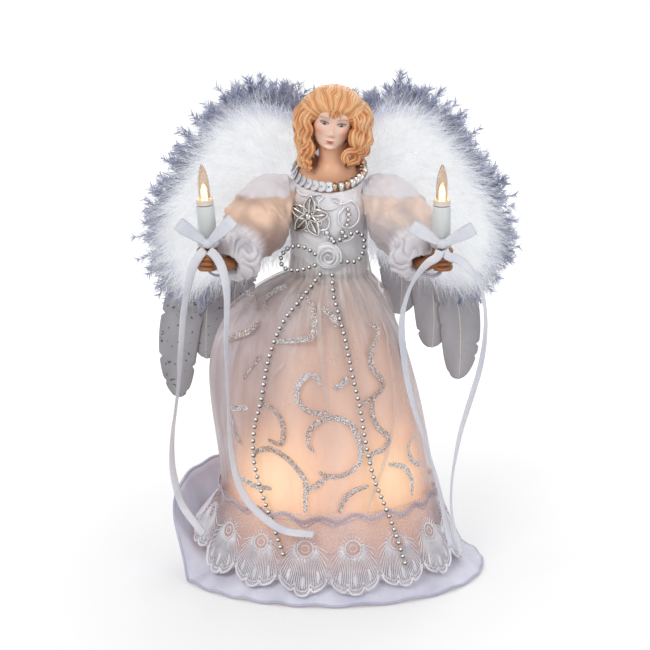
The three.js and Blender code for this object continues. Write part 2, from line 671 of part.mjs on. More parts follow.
// Bare shoulder plate that seats on the torso inside the bodice, with the neck on it.
function shoulderPlate() {
  const rim = (angle) => aroundTorso(angle, TORSO_HEIGHT, 0);
  const level = (z, share) => (angle) => rim(angle).multiply(vec(share, share, 0)).setZ(z);
  const atNeckline = (share, lift) => (angle) =>
    rim(angle).multiply(vec(share, share, 0)).setZ(WAIST + necklineRise(angle) + lift);
  const neck = (z, x) => (angle) => polar(NECK_RADIUS, angle, z).add(vec(x, HEAD_Y, 0));
  const chinHeight = TORSO_TOP + HEAD_RISE - HAIR_HALF_HEIGHT;
  const sections = [
    level(TORSO_TOP + FIT_GAP, 0.94),
    atNeckline(1, -FIT_GAP),
    atNeckline(0.78, 2.4),
    neck(chinHeight - 4.5, HEAD_X / 2),
    neck(chinHeight + 4, HEAD_X),
  ];
  return solidThrough(sections.map((section) => ring(TORSO_STEPS, section)));
}

function head() {
  const level = TORSO_TOP + HEAD_RISE;
  const strands = [
    hairStrand(HEAD_X - 14.5, HEAD_Y - 4, level - 2, level - 23, -1.6),
    hairStrand(HEAD_X - 10.5, HEAD_Y - 7.5, level - 8, level - 25, 1.4),
    hairStrand(HEAD_X + 14, HEAD_Y - 5.5, level - 2, level - 22, 1.8),
    hairStrand(HEAD_X + 9.5, HEAD_Y - 8, level - 10, level - 23.5, -1.2),
  ];
  return join(headShape(), shoulderPlate(), ...strands);
}

// A point on the neckline, above the bodice's edge.
function onNeckline(angle, lift) {
  const edge = onBodice(angle, TORSO_HEIGHT, -BODICE_THICKNESS / 2);
  return edge.setZ(WAIST + necklineRise(angle) + lift);
}

// Overlapping sequins from the front of the neckline round its left side.
function sequinCollar() {
  const discs = Array.from({ length: SEQUIN_COUNT }, (_, i) => {
    const angle = radians(mix(SEQUINS_FROM, SEQUINS_TO, i / (SEQUIN_COUNT - 1)));
    const disc = new THREE.CylinderGeometry(SEQUIN_RADIUS, SEQUIN_RADIUS, SEQUIN_THICKNESS, 7);
    const place = onNeckline(angle, SEQUIN_RADIUS * 0.8);
    disc.rotateX(Math.PI / 2).rotateY(radians(SEQUIN_SLOPE)).rotateZ(angle);
    return disc.translate(place.x, place.y, place.z);
  });
  return join(...discs);
}

// Metal beads from the front of the neckline round its right side.
function neckBeads() {
  const angle = (share) => radians(mix(NECK_BEADS_FROM, NECK_BEADS_TO, share));
  const route = shares(6).map((share) => onNeckline(angle(share), NECK_BEAD_RADIUS + FIT_GAP));
  return beadStrand(route, NECK_BEAD_RADIUS, NECK_BEAD_PITCH, 6);
}

// Turns a flat-backed piece modelled on the XY plane onto the bodice, clear of its swell above and below.
function pinToBodice(mesh, angle, rise, radius) {
  const { halfWidth, halfDepth } = torsoSize(rise);
  const swell = Math.max(torsoSize(rise - radius).halfDepth, torsoSize(rise + radius).halfDepth, halfDepth);
  const place = onBodice(angle, rise, FIT_GAP + swell - halfDepth);
  const normal = vec(Math.cos(angle) / halfWidth, Math.sin(angle) / halfDepth, 0).normalize();
  mesh.position.copy(place);
  mesh.quaternion.setFromUnitVectors(vec(0, 0, 1), normal);
  return mesh;
}

// Rolled ribbon rose: a spiral wall on a round base.
function fabricRose() {
  const turns = 2.6;
  const wall = 1.1;
  const base = turned([[0, 0], [ROSE_RADIUS, 0], [ROSE_RADIUS, 2], [ROSE_RADIUS - 1, 2.6], [0, 2.6]], 12);
  const rings = shares(28).map((share) => {
    const angle = share * turns * FULL_TURN;
    const radius = mix(1, ROSE_RADIUS - wall, share);
    const height = mix(ROSE_HEIGHT, 0.7 * ROSE_HEIGHT, share);
    const out = vec(Math.cos(angle), Math.sin(angle), 0);
    return [[0, 1.5], [wall, 1.5], [wall, height], [0, height]].map(([u, z]) =>
      out.clone().multiplyScalar(radius + u).setZ(z));
  });
  return join(base, solidThrough(rings));
}

// Flower brooch: pointed petals and a round centre on a small back plate.
function brooch() {
  const back = turned([[0, 0], [BROOCH_RADIUS / 3, 0], [BROOCH_RADIUS / 3, 1], [0, 1]], 10);
  const centre = new THREE.SphereGeometry(BROOCH_RADIUS / 5, 6, 5).translate(0, 0, 1.8);
  const petals = Array.from({ length: BROOCH_PETALS }, (_, i) => {
    const petal = new THREE.SphereGeometry(1, 6, 4);
    petal.scale(BROOCH_RADIUS * 0.4, BROOCH_RADIUS * 0.2, 0.9).rotateY(radians(-8));
    return petal.translate(BROOCH_RADIUS * 0.6, 0, 1.2).rotateZ((FULL_TURN * i) / BROOCH_PETALS);
  });
  return join(back, centre, ...petals);
}

// Silver wire that winds over the bodice's front and curls into a scroll.
function filigree() {
  const route = FILIGREE_ROUTE.map(([x, rise]) => {
    const angle = -Math.acos(x / onBodice(0, rise).x);
    return onBodice(angle, rise, FIT_GAP + FILIGREE_RADIUS);
  });
  return wire(route, FILIGREE_RADIUS, 4, 48);
}

// Beads on a thread along a path, each a pair of cones.
function beadStrand(points, radius = BEAD_RADIUS, pitch = BEAD_PITCH, sides = 4) {
  const path = new THREE.CatmullRomCurve3(points);
  const steps = 2 * Math.round(path.getLength() / pitch);
  const { normals, binormals } = path.computeFrenetFrames(steps);
  const rings = Array.from({ length: steps + 1 }, (_, k) => {
    const girth = k % 2 === 1 ? radius : BEAD_NECK_RADIUS;
    const centre = path.getPointAt(k / steps);
    return ring(sides, (angle) => centre.clone()
      .addScaledVector(normals[k], girth * Math.cos(angle))
      .addScaledVector(binormals[k], girth * Math.sin(angle)));
  });
  return solidThrough(rings);
}

// A point just clear of the gown's outer layer, the lace below its top edge and the overskirt above it.
function onGown(angle, z) {
  const lift = FIT_GAP + BEAD_RADIUS;
  if (z > LACE_TOP_HEIGHT) return aroundCone(angle, z, organzaCrest(angle, z) + lift + LACE_THICKNESS);
  const tip = onLace(angle, 1).z;
  const point = onLace(angle, (LACE_TOP_HEIGHT - z) / (LACE_TOP_HEIGHT - tip), -lift - LACE_THICKNESS);
  return point.setZ(z);
}

function beadString(side) {
  const [x, y, rise] = side.stringTop;
  const route = side.stringRoute.map(([angle, z]) => onGown(radians(angle), z));
  return beadStrand([vec(x, y, WAIST + rise), ...route]);
}

function beadLoop(side) {
  return beadStrand(side.loop.map(([x, y, rise]) => vec(x, y, WAIST + rise)));
}

// Middle of a fist.
function handCentre(side) {
  return vec(side.sign * side.reach, HAND_Y, SHOULDER_HEIGHT - HAND_DROP);
}

function elbow(side) {
  return vec(side.sign * ELBOW_OUT, SHOULDER_Y - ELBOW_FORWARD, SHOULDER_HEIGHT - ELBOW_DROP);
}

// The wrist, where the cuff opens.
function wrist(side) {
  return handCentre(side).add(vec(-side.sign * WRIST_INWARD, WRIST_BACK, -WRIST_BELOW));
}

// Direction from the elbow to the wrist.
function forearm(side) {
  return wrist(side).sub(elbow(side)).normalize();
}

// Outer face of the bodice's side, where a sleeve begins.
function sleeveStart() {
  const widest = Math.max(...TORSO_SECTIONS.map((section) => section.halfWidth));
  return widest + FIT_GAP + BODICE_THICKNESS + FIT_GAP;
}

// Armature wire from the torso's bore down to the wrist.
function armWire(side) {
  const shoulder = (x) => vec(side.sign * x, SHOULDER_Y, SHOULDER_HEIGHT);
  const end = wrist(side).addScaledVector(forearm(side), -ARM_WIRE_INSET);
  const straight = [ARM_WIRE_INSET, sleeveStart(), sleeveStart() + 3].map(shoulder);
  return wire([...straight, elbow(side), end], ARM_WIRE_RADIUS, 6, 14);
}

// Puffed sleeve that narrows to a seam and opens round the wrist in a bell cuff.
function sleeve(side) {
  const start = sleeveStart();
  const shoulder = (x, forward, drop) => vec(side.sign * x, SHOULDER_Y - forward, SHOULDER_HEIGHT - drop);
  const along = (share) => elbow(side).lerp(wrist(side), share);
  const stations = [
    [shoulder(start, 0, 0), SLEEVE_SHOULDER_RADIUS],
    [shoulder(start + 5, 0.5, -0.5), SLEEVE_SHOULDER_RADIUS + 1.2],
    [shoulder(mix(start, ELBOW_OUT, 0.6), 6, 1), SLEEVE_UPPER_RADIUS],
    [elbow(side), SLEEVE_PUFF_RADIUS],
    [along(0.58), CUFF_SEAM_RADIUS],
    [along(0.8), CUFF_RADIUS],
    [wrist(side), CUFF_MOUTH_RADIUS],
  ];
  const rows = [0, 0.5, 1, 2, 3, 3.5, 4, 4.5, 5, 6].map((station) => station / (stations.length - 1));
  const path = new THREE.CatmullRomCurve3(stations.map(([point]) => point));
  const swell = new THREE.CatmullRomCurve3(stations.map(([, radius]) => vec(radius, 0, 0)));
  const layer = (inset) => rows.map((share) => {
    const tangent = path.getTangent(share);
    const across = tangent.clone().cross(vec(0, 0, 1)).normalize();
    const up = across.clone().cross(tangent);
    const radius = swell.getPoint(share).x - inset;
    const pucker = SLEEVE_PUCKER * Math.sin(Math.PI * share);
    return ring(SLEEVE_STEPS, (angle) => {
      const reach = radius * (1 + pucker * (Math.cos(SLEEVE_FOLDS * angle) - 1));
      return path.getPoint(share)
        .addScaledVector(across, reach * Math.cos(angle))
        .addScaledVector(up, reach * Math.sin(angle));
    });
  });
  return wallBetween(layer(0), layer(SLEEVE_THICKNESS));
}

// Fist with four stacked fingers on a wrist, bored for the candle's lead and flat on top.
function hand(side) {
  const centre = handCentre(side);
  const rows = shares(2 * FINGERS);
  const fist = solidThrough(rows.map((share) => {
    const bulge = FINGER_BULGE * (Math.abs(Math.sin(FINGERS * Math.PI * share)) - 1);
    const radius = FIST_RADIUS + bulge;
    const z = centre.z + FIST_HEIGHT * (share - 0.5);
    return ring(SMALL_STEPS, (angle) => vec(
      centre.x + radius * Math.cos(angle),
      centre.y + radius * Math.sin(angle),
      z,
    ));
  }));
  const start = wrist(side).addScaledVector(forearm(side), -ARM_WIRE_INSET + FIT_GAP);
  const palm = handCentre(side).lerp(wrist(side), 0.25);
  const stalk = wire([start, wrist(side), palm], WRIST_RADIUS, 8, 4);
  const bore = new THREE.CylinderGeometry(LEAD_HOLE_RADIUS, LEAD_HOLE_RADIUS, 2 * FIST_HEIGHT, 10);
  bore.rotateX(Math.PI / 2).translate(centre.x, centre.y, centre.z);
  return cut(join(fist, stalk), bore);
}

// Height of a candle's foot: a leaning candle stands a little higher so that its edge clears the fist.
function candleFoot(side) {
  const edgeDip = CANDLE_RADIUS * Math.sin(radians(side.candleLean));
  return handCentre(side).add(vec(0, 0, FIST_HEIGHT / 2 + FIT_GAP + edgeDip));
}

// Twin lead out of the candle's foot, down through the fist and back into the cuff.
function candleLead(side) {
  const foot = candleFoot(side);
  const fistFoot = handCentre(side).z - FIST_HEIGHT / 2;
  const under = wrist(side).add(vec(0, 0, -WRIST_RADIUS - 3 * LEAD_RADIUS));
  const points = [
    vec(foot.x, foot.y, foot.z + CANDLE_FLOOR / 2),
    vec(foot.x, foot.y, handCentre(side).z),
    vec(foot.x, foot.y, fistFoot - LEAD_RADIUS),
    vec(mix(foot.x, under.x, 0.35), mix(foot.y, under.y, 0.35), fistFoot - 3.2),
    under,
  ];
  const lobe = (offset, from) => ring(6, (a) => a).slice(0, 4).map((a) =>
    new THREE.Vector2(offset + LEAD_RADIUS * Math.cos(a + from), LEAD_RADIUS * Math.sin(a + from)));
  const section = new THREE.Shape([...lobe(LEAD_RADIUS, -Math.PI / 2), ...lobe(-LEAD_RADIUS, Math.PI / 2)]);
  const extrudePath = new THREE.CatmullRomCurve3(points);
  return outward(new THREE.ExtrudeGeometry(section, { steps: 10, extrudePath }));
}

function candleTube() {
  const bore = CANDLE_RADIUS - CANDLE_WALL;
  return turnedRing([
    [LEAD_HOLE_RADIUS, 0], [CANDLE_RADIUS, 0], [CANDLE_RADIUS, CANDLE_LENGTH],
    [bore, CANDLE_LENGTH], [bore, CANDLE_FLOOR], [LEAD_HOLE_RADIUS, CANDLE_FLOOR],
  ], 14);
}

// Bulb husk with its plug, a seat for the glass and the filament on its lead wires, from the candle's rim up.
function bulbBase() {
  const plug = CANDLE_RADIUS - CANDLE_WALL - FIT_GAP;
  const top = FIT_GAP + HUSK_HEIGHT;
  const seat = top - HUSK_SEAT_DEPTH;
  const husk = turned([
    [0, -HUSK_PLUG_LENGTH], [plug, -HUSK_PLUG_LENGTH], [plug, FIT_GAP], [HUSK_RADIUS, FIT_GAP],
    [HUSK_RADIUS, top], [BULB_RADIUS + FIT_GAP, top], [BULB_RADIUS + FIT_GAP, seat], [0, seat],
  ]);
  const post = (x, z) => vec(x * FILAMENT_SPREAD, 0, z);
  const crown = seat + FILAMENT_HEIGHT;
  const filament = wire(
    [post(-1, seat - FILAMENT_SPREAD), post(-1, seat + 1), post(-1, crown - FILAMENT_SPREAD), post(0, crown),
      post(1, crown - FILAMENT_SPREAD), post(1, seat + 1), post(1, seat - FILAMENT_SPREAD)],
    FILAMENT_RADIUS, 4, 14,
  );
  return join(husk, filament);
}

// Clear pointed bulb glass, open where it sits in the husk.
function bulbGlass() {
  const foot = FIT_GAP + HUSK_HEIGHT - HUSK_SEAT_DEPTH + FIT_GAP;
  const tip = FIT_GAP + HUSK_HEIGHT + BULB_HEIGHT;
  const outline = (inset) => [
    [BULB_RADIUS - inset, foot],
    [BULB_RADIUS - inset, mix(foot, tip, 0.58)],
    [0.62 * BULB_RADIUS - inset, mix(foot, tip, 0.84)],
  ];
  const outside = [...outline(0), [0, tip]];
  const inside = [[0, tip - 4 * GLASS_WALL], ...outline(GLASS_WALL).toReversed()];
  return turned([...inside, ...outside], 12);
}

// Ribbon bow tied round the candle's foot: a band, a knot and two loops.
function ribbonBow(side) {
  const inner = CANDLE_RADIUS + FIT_GAP;
  const outer = inner + RIBBON_THICKNESS;
  const band = turnedRing([[inner, 1], [outer, 1], [outer, 1 + RIBBON_WIDTH], [inner, 1 + RIBBON_WIDTH]], 14);
  const knotPlace = vec(0, -outer - 0.55 * KNOT_RADIUS, 1 + RIBBON_WIDTH / 2);
  const knot = new THREE.SphereGeometry(KNOT_RADIUS, 8, 5).scale(1, 0.75, 0.85);
  knot.translate(knotPlace.x, knotPlace.y, knotPlace.z);
  const loops = side.bowLoops.map((angle) => {
    const along = vec(Math.cos(radians(angle)), 0, Math.sin(radians(angle)));
    const at = (length, forward) => knotPlace.clone()
      .addScaledVector(along, length * BOW_LOOP_LENGTH)
      .add(vec(0, -forward * BOW_LOOP_DEPTH, 0));
    const front = [at(0.03, 0.2), at(0.5, 1), at(0.9, 0.9), at(1, 0)];
    const back = [at(0.9, -0.7), at(0.5, -0.6), at(0.03, -0.2)];
    return loopStrip([...front, ...back], along);
  });
  return join(band, knot, ...loops);
}

// A flat strip whose width stays square to its run and lies in the XZ plane.
function loopStrip(points, along) {
  const across = vec(-along.z, 0, along.x).multiplyScalar(RIBBON_WIDTH / 2);
  const path = new THREE.CatmullRomCurve3(points);
  const rings = shares(10).map((share) => {
    const through = across.clone().cross(path.getTangentAt(share)).setLength(RIBBON_THICKNESS / 2);
    const centre = path.getPointAt(share);
    return [[1, 1], [-1, 1], [-1, -1], [1, -1]].map(([u, v]) =>
      centre.clone().addScaledVector(across, u).addScaledVector(through, v));
  });
  return solidThrough(rings);
}

// Loose end of a bow's ribbon, hanging from the fist.
function ribbonTail(side, route) {
  const points = route.map(([x, y, z]) => handCentre(side).add(vec(x, y, z)));
  return strip(points, vec(0, -1, 0), 26);
}

// A smooth closed curve round a wing, mirrored for the left side.
function wingCurve(sign) {
  const points = WING_OUTLINE.map(([x, rise]) => vec(sign * x, WAIST + rise, 0));
  return new THREE.CatmullRomCurve3(points, true, 'centripetal');
}

function wingShape(sign, count) {
  const points = wingCurve(sign).getPoints(count).slice(0, -1);
  return new THREE.Shape(points.map((point) => new THREE.Vector2(point.x, point.y)));
}

// Front of the marabou, seated on the bodice's back a little to either side of the spine.
function wingFront() {
  const deepest = Math.max(...TORSO_SECTIONS.map((section) => section.halfDepth));
  return (deepest + FIT_GAP + BODICE_THICKNESS) * Math.sin(radians(WING_SEAT_ANGLE)) + FIT_GAP;
}

function marabou(side) {
  return plate(wingShape(side.sign, 26), wingFront(), MARABOU_DEPTH, MARABOU_ROUNDING);
}

// Serrated band of tinsel behind the marabou's outer edge.
function tinsel(side) {
  const curve = wingCurve(side.sign);
  const [from, to] = [0.06, 0.66];
  const edge = (share, out) => {
    const point = curve.getPoint(share);
    const tangent = curve.getTangent(share);
    return new THREE.Vector2(point.x - side.sign * tangent.y * out, point.y + side.sign * tangent.x * out);
  };
  const outer = shares(2 * TINSEL_SPIKES).map((share, k) => {
    const spike = TINSEL_REACH * (0.8 + 0.2 * Math.cos(2.4 * k));
    return edge(mix(from, to, share), k % 2 === 1 ? spike : TINSEL_REACH / 4);
  });
  const inner = shares(12).map((share) => edge(mix(to, from, share), -TINSEL_BAND));
  const near = wingFront() + MARABOU_DEPTH + FIT_GAP;
  return plate(new THREE.Shape([...outer, ...inner]), near, TINSEL_THICKNESS);
}

// Front of a layer of feathers behind the tinsel.
function featherFront(layer) {
  const first = wingFront() + MARABOU_DEPTH + TINSEL_THICKNESS + 2 * FIT_GAP;
  return first + layer * (FEATHER_THICKNESS + FIT_GAP);
}

// Long wing feather: a leaf that widens below the quill to a blunt tip. Layers count from the tinsel.
function feather(layer, { base, tip }) {
  const length = Math.hypot(tip[0] - base[0], tip[1] - base[1]);
  const lean = Math.atan2(tip[0] - base[0], base[1] - tip[1]);
  const half = FEATHER_WIDTH / 2;
  const leaf = new THREE.Shape();
  leaf.moveTo(-0.6, 0);
  leaf.bezierCurveTo(-1.2 * half, -0.25 * length, -1.1 * half, -0.85 * length, 0, -length);
  leaf.bezierCurveTo(0.8 * half, -0.9 * length, 1.3 * half, -0.3 * length, 0.6, 0);
  const flat = plate(leaf, featherFront(layer), FEATHER_THICKNESS);
  return flat.rotateY(-lean).translate(base[0], 0, WAIST + base[1]);
}

// Stiff board behind the feathers that carries the wing.
function wingBoard(side) {
  const middle = WING_OUTLINE.reduce((sum, [x, rise]) => [sum[0] + x, sum[1] + rise], [0, 0]);
  const [centreX, centreRise] = middle.map((total) => total / WING_OUTLINE.length);
  const corners = wingCurve(side.sign).getPoints(16).slice(0, -1).map((point) => new THREE.Vector2(
    mix(side.sign * centreX, point.x, BOARD_SHARE),
    mix(WAIST + centreRise, point.y, BOARD_SHARE),
  ));
  return plate(new THREE.Shape(corners), featherFront(side.feathers.length), BOARD_THICKNESS);
}

// Colour, roughness and metalness of each finish
const FINISHES = {
  card: [0xe9e2d8, 0.8, 0],
  plastic: [0xf1efe8, 0.45, 0],
  satin: [0xf3d3bd, 0.4, 0],
  organza: [0xe9e4e6, 0.5, 0],
  lace: [0xf4f2f6, 0.75, 0],
  flounce: [0xe9e6f2, 0.4, 0],
  skin: [0xe3a982, 0.5, 0],
  hand: [0x8a4f24, 0.5, 0],
  sequin: [0xe8eef2, 0.25, 0],
  silver: [0xc9c7c2, 0.25, 1],
  rose: [0xf2f2f4, 0.5, 0],
  wire: [0x8d8d92, 0.4, 1],
  lead: [0xb9b4c2, 0.5, 0],
  glass: [0xf6efe2, 0.05, 0],
  ribbon: [0xf4f3f8, 0.4, 0],
  marabou: [0xf6f5f3, 0.95, 0],
  tinsel: [0xb3b7cc, 0.35, 0],
  feather: [0xc9cacb, 0.8, 0],
};

const angel = new THREE.Group();

// Adds one named piece to a group, with a material of its own.
function add(name, geometry, finish, parent = angel) {
  const [color, roughness, metalness] = FINISHES[finish];
  const mesh = new THREE.Mesh(geometry, new THREE.MeshStandardMaterial({ color, roughness, metalness }));
  geometry.computeVertexNormals();
  mesh.name = name;
  parent.add(mesh);
  return mesh;
}

// Skirt and its lamps
add('skirt_cone', skirtCone(), 'card');
add('tree_socket', treeSocket(), 'plastic');
add('satin_underskirt', satinUnderskirt(), 'satin');
add('organza_overskirt', organzaOverskirt(), 'organza');
add('lace_hem', laceHem(), 'lace');
add('satin_flounce', satinFlounce(), 'flounce');
add('lamp_wiring', lampWiring(), 'lead');
for (let i = 0; i < LAMP_COUNT; i++) {
  const lamp = new THREE.Group();
  lamp.position.copy(lampPlace(i));
  angel.add(lamp);
  add(`skirt_lamp_holder_${i + 1}`, lampHolder(), 'plastic', lamp);
  add(`skirt_bulb_${i + 1}`, skirtBulb(), 'glass', lamp).position.z = LAMP_HOLDER_HEIGHT;
}

// Body, head and trim
add('torso_form', torsoForm(), 'card');
add('bodice', bodice(), 'flounce');
add('head', head(), 'skin');
add('sequin_collar', sequinCollar(), 'sequin');
add('neck_beads', neckBeads(), 'silver');
pinToBodice(add('fabric_rose', fabricRose(), 'rose'), radians(ROSE_ANGLE), ROSE_RISE, ROSE_RADIUS);
pinToBodice(add('brooch', brooch(), 'silver'), radians(BROOCH_ANGLE), BROOCH_RISE, BROOCH_RADIUS / 3);
add('filigree', filigree(), 'silver');

// Arms and wings
for (const side of SIDES) {
  const named = (piece) => `${side.name}_${piece}`;
  add(named('bead_loop'), beadLoop(side), 'silver');
  add(named('bead_string'), beadString(side), 'silver');
  add(named('arm_wire'), armWire(side), 'wire');
  add(named('sleeve'), sleeve(side), 'flounce');
  add(named('hand'), hand(side), 'hand');
  add(named('candle_lead'), candleLead(side), 'lead');
  const candle = new THREE.Group();
  candle.position.copy(candleFoot(side));
  candle.rotation.y = side.sign * radians(side.candleLean);
  angel.add(candle);
  add(named('candle_tube'), candleTube(), 'plastic', candle);
  add(named('ribbon_bow'), ribbonBow(side), 'ribbon', candle);
  add(named('bulb_base'), bulbBase(), 'plastic', candle).position.z = CANDLE_LENGTH;
  add(named('bulb_glass'), bulbGlass(), 'glass', candle).position.z = CANDLE_LENGTH;
  add(named('ribbon_tail_inner'), ribbonTail(side, side.tails.inner), 'ribbon');
  add(named('ribbon_tail_outer'), ribbonTail(side, side.tails.outer), 'ribbon');
  add(named('marabou'), marabou(side), 'marabou');
  add(named('tinsel'), tinsel(side), 'tinsel');
  side.feathers.forEach((place, index) => {
    const layer = side.feathers.length - 1 - index;
    add(named(`feather_${index + 1}`), feather(layer, place), 'feather');
  });
  add(named('wing_board'), wingBoard(side), 'card');
}

export default angel;
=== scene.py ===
"""Looks of an angel tree topper. Metres, +Z up; the angel faces -Y, and left is -X."""
import math

import bpy
import numpy as np
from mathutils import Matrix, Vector


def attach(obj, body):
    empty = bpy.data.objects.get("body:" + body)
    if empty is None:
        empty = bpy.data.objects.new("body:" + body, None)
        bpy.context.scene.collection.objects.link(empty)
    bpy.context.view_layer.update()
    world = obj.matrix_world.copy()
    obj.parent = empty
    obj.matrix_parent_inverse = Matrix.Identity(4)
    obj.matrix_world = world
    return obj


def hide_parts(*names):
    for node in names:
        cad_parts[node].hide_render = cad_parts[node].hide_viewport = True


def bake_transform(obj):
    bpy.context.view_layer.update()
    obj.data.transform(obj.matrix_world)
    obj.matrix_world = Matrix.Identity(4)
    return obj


MM = 0.001
TURN = 2 * math.pi
FIT_GAP = 0.3 * MM

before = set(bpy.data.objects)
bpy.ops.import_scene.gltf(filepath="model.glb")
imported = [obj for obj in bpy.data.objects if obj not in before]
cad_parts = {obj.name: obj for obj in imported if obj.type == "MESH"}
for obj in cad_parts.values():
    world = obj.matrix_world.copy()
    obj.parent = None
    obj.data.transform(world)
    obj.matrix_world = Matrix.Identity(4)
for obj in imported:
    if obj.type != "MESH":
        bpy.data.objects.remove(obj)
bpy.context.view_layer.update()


# Small sums on numbers and points
def mm(lengths):
    """An array of lengths given in millimetres."""
    return np.array(lengths) * MM


def mix(a, b, share):
    return a + (b - a) * share


def smooth(share):
    share = np.clip(share, 0, 1)
    return share * share * (3 - 2 * share)


def rising(value, start, span):
    """0 up to a start, then softly up to 1 over a span."""
    return smooth((value - start) / span)


def hump(away, wide):
    """1 at no distance, falling off softly over a width."""
    return np.exp(-((away / wide) ** 2))


def round_ended(along, start, span, power=1.0):
    """The width along a piece that is full in its middle and rounded off at its ends."""
    return np.sin(math.pi * np.clip(start + span * along, 0, 1)) ** power


def squared_off(value, power):
    return np.sign(value) * np.abs(value) ** power


def rounded_abs(value, blur):
    """The size of a number, with its sharp turn at zero rounded off."""
    return np.sqrt(value**2 + blur)


def unit(ways):
    return ways / np.maximum(np.linalg.norm(ways, axis=-1, keepdims=True), 1e-12)


def shares(count):
    return np.linspace(0, 1, count)


def both_ways(count):
    return np.linspace(-1, 1, count)


def around(count):
    return np.arange(count) * TURN / count


def stacked(x, y, z):
    return np.stack(np.broadcast_arrays(x, y, z), -1)


def oval(half_width, half_depth, angle, z):
    return stacked(half_width * np.cos(angle), half_depth * np.sin(angle), z)


def ring(radius, angle, z):
    return oval(radius, radius, angle, z)


def from_axis(points):
    """Distance of points from the Z axis."""
    return np.hypot(points[..., 0], points[..., 1])


def spline(points, count, closed=False):
    """Points on a smooth curve through the given ones."""
    points = np.asarray(points, float)
    if closed:
        padded = np.concatenate([points[-1:], points, points[:2]])
        spans = len(points)
    else:
        padded = np.concatenate([[2 * points[0] - points[1]], points, [2 * points[-1] - points[-2]]])
        spans = len(points) - 1
    at = np.linspace(0, spans, count, endpoint=not closed)
    start = np.minimum(at.astype(int), spans - 1)
    share = (at - start)[:, None]
    a, b, c, d = (padded[start + k] for k in range(4))
    steps = ((a, b), (b, c), (c, d))
    before, span, after = (np.sqrt(np.linalg.norm(q - p, axis=1))[:, None] for p, q in steps)
    leave = span * ((b - a) / before - (c - a) / (before + span) + (c - b) / span)
    reach = span * ((c - b) / span - (d - b) / (span + after) + (d - c) / after)
    cubic = 2 * b - 2 * c + leave + reach
    square = 3 * c - 3 * b - 2 * leave - reach
    return ((cubic * share + square) * share + leave) * share + b


def even(path, count):
    """The same path with evenly spaced points."""
    steps = np.linalg.norm(np.diff(path, axis=0), axis=1)
    along = np.concatenate([[0], np.cumsum(steps)])
    at = np.linspace(0, along[-1], count)
    return np.stack([np.interp(at, along, column) for column in path.T], 1)


def length_of(path):
    return float(np.linalg.norm(np.diff(path, axis=0), axis=1).sum())


# Shapes: each is a pair of points and faces
def skin(grid, closed=False):
    """Quads over a grid of points; a closed grid joins its last column to its first."""
    rows, columns = grid.shape[:2]
    across = np.arange(columns if closed else columns - 1)
    row, column = np.meshgrid(np.arange(rows - 1), across, indexing="ij")
    first = (row * columns + column).ravel()
    second = (row * columns + (column + 1) % columns).ravel()
    return grid.reshape(-1, 3), np.stack([first, second, second + columns, first + columns], 1).tolist()


def capped(grid):
    """A closed grid whose first and last rings are filled."""
    points, faces = skin(grid, closed=True)
    columns = grid.shape[1]
    faces.append(list(range(columns))[::-1])
    faces.append(list(range(len(points) - columns, len(points))))
    return points, faces


# A direction that no path of the object runs along
ODD_WAY = (0.31, 0.17, 0.93)


def frames_along(path):
    """Two directions across a path, turning as little as possible along it."""
    tangent = unit(np.gradient(path, axis=0))
    side = np.zeros_like(path)
    side[0] = unit(np.cross(tangent[0], ODD_WAY))
    for i in range(1, len(path)):
        side[i] = unit(side[i - 1] - tangent[i] * np.dot(side[i - 1], tangent[i]))
    return side, np.cross(tangent, side)


def beside(path, out):
    """Directions along a path, sideways from it and outward, given about which way is out."""
    tangent = unit(np.gradient(path, axis=0))
    across = unit(np.cross(tangent, out))
    return tangent, across, np.cross(across, tangent)


def spokes(side, up, angle, flat=1.0):
    """Directions round each place of a path."""
    return np.cos(angle)[:, None] * side[:, None] + flat * np.sin(angle)[:, None] * up[:, None]


def tube(path, radius, sides=8):
    reach = np.broadcast_to(radius, len(path))[:, None, None]
    return capped(path[:, None] + reach * spokes(*frames_along(path), around(sides)))


def revolved(profile, steps):
    """A grid about Z from (radius, height) points."""
    radius, height = np.asarray(profile, float).T
    return ring(radius[:, None], around(steps), height[:, None])


def lathe(profile, steps):
    """A solid turned shape."""
    return capped(revolved(profile, steps))


def shell(profile, steps):
    """A turned shape that is left open, or hollow where its profile comes back to its start."""
    return skin(revolved(profile, steps), closed=True)


def ball(radius, centre=(0, 0, 0), stretch=(1, 1, 1), steps=14):
    turn = np.linspace(-0.97, 0.97, steps) * math.pi / 2
    points, faces = lathe(np.stack([np.cos(turn), np.sin(turn)], 1), steps)
    return points * radius * np.asarray(stretch) + np.asarray(centre), faces


def moved(shape, offset):
    return shape[0] + np.asarray(offset), shape[1]


def turned(shape, columns):
    """A shape turned so that its own X, Y and Z run along three directions."""
    return shape[0] @ np.asarray(columns, float), shape[1]


def merged(shapes):
    points, faces, start = [], [], 0
    for some_points, some_faces in shapes:
        points.append(some_points)
        faces.extend([i + start for i in face] for face in some_faces)
        start += len(some_points)
    return np.concatenate(points), faces


def bands(path, across, half, columns):
    """A strip along a path, with its half width and its direction across given at each point."""
    half = np.broadcast_to(half, len(path))[:, None, None]
    return skin(path[:, None] + half * both_ways(columns)[:, None] * across[:, None])


def blades(roots, ways, bends, lengths, width, faces_to, steps):
    """Many fine tapered strips at once, each from its root along its way."""
    share = shares(steps + 1)
    run = lengths[:, None, None] * share[:, None]
    path = roots[:, None] + ways[:, None] * run + bends[:, None] * run * share[:, None]
    across = unit(np.cross(ways, faces_to))[:, None]
    half = (width / 2 * (1 - 0.8 * share))[:, None]
    points = np.stack([path - across * half, path + across * half], 2).reshape(-1, 3)
    first = (np.arange(len(roots))[:, None] * 2 * (steps + 1) + 2 * np.arange(steps)).ravel()
    return points, np.stack([first, first + 1, first + 3, first + 2], 1).tolist()


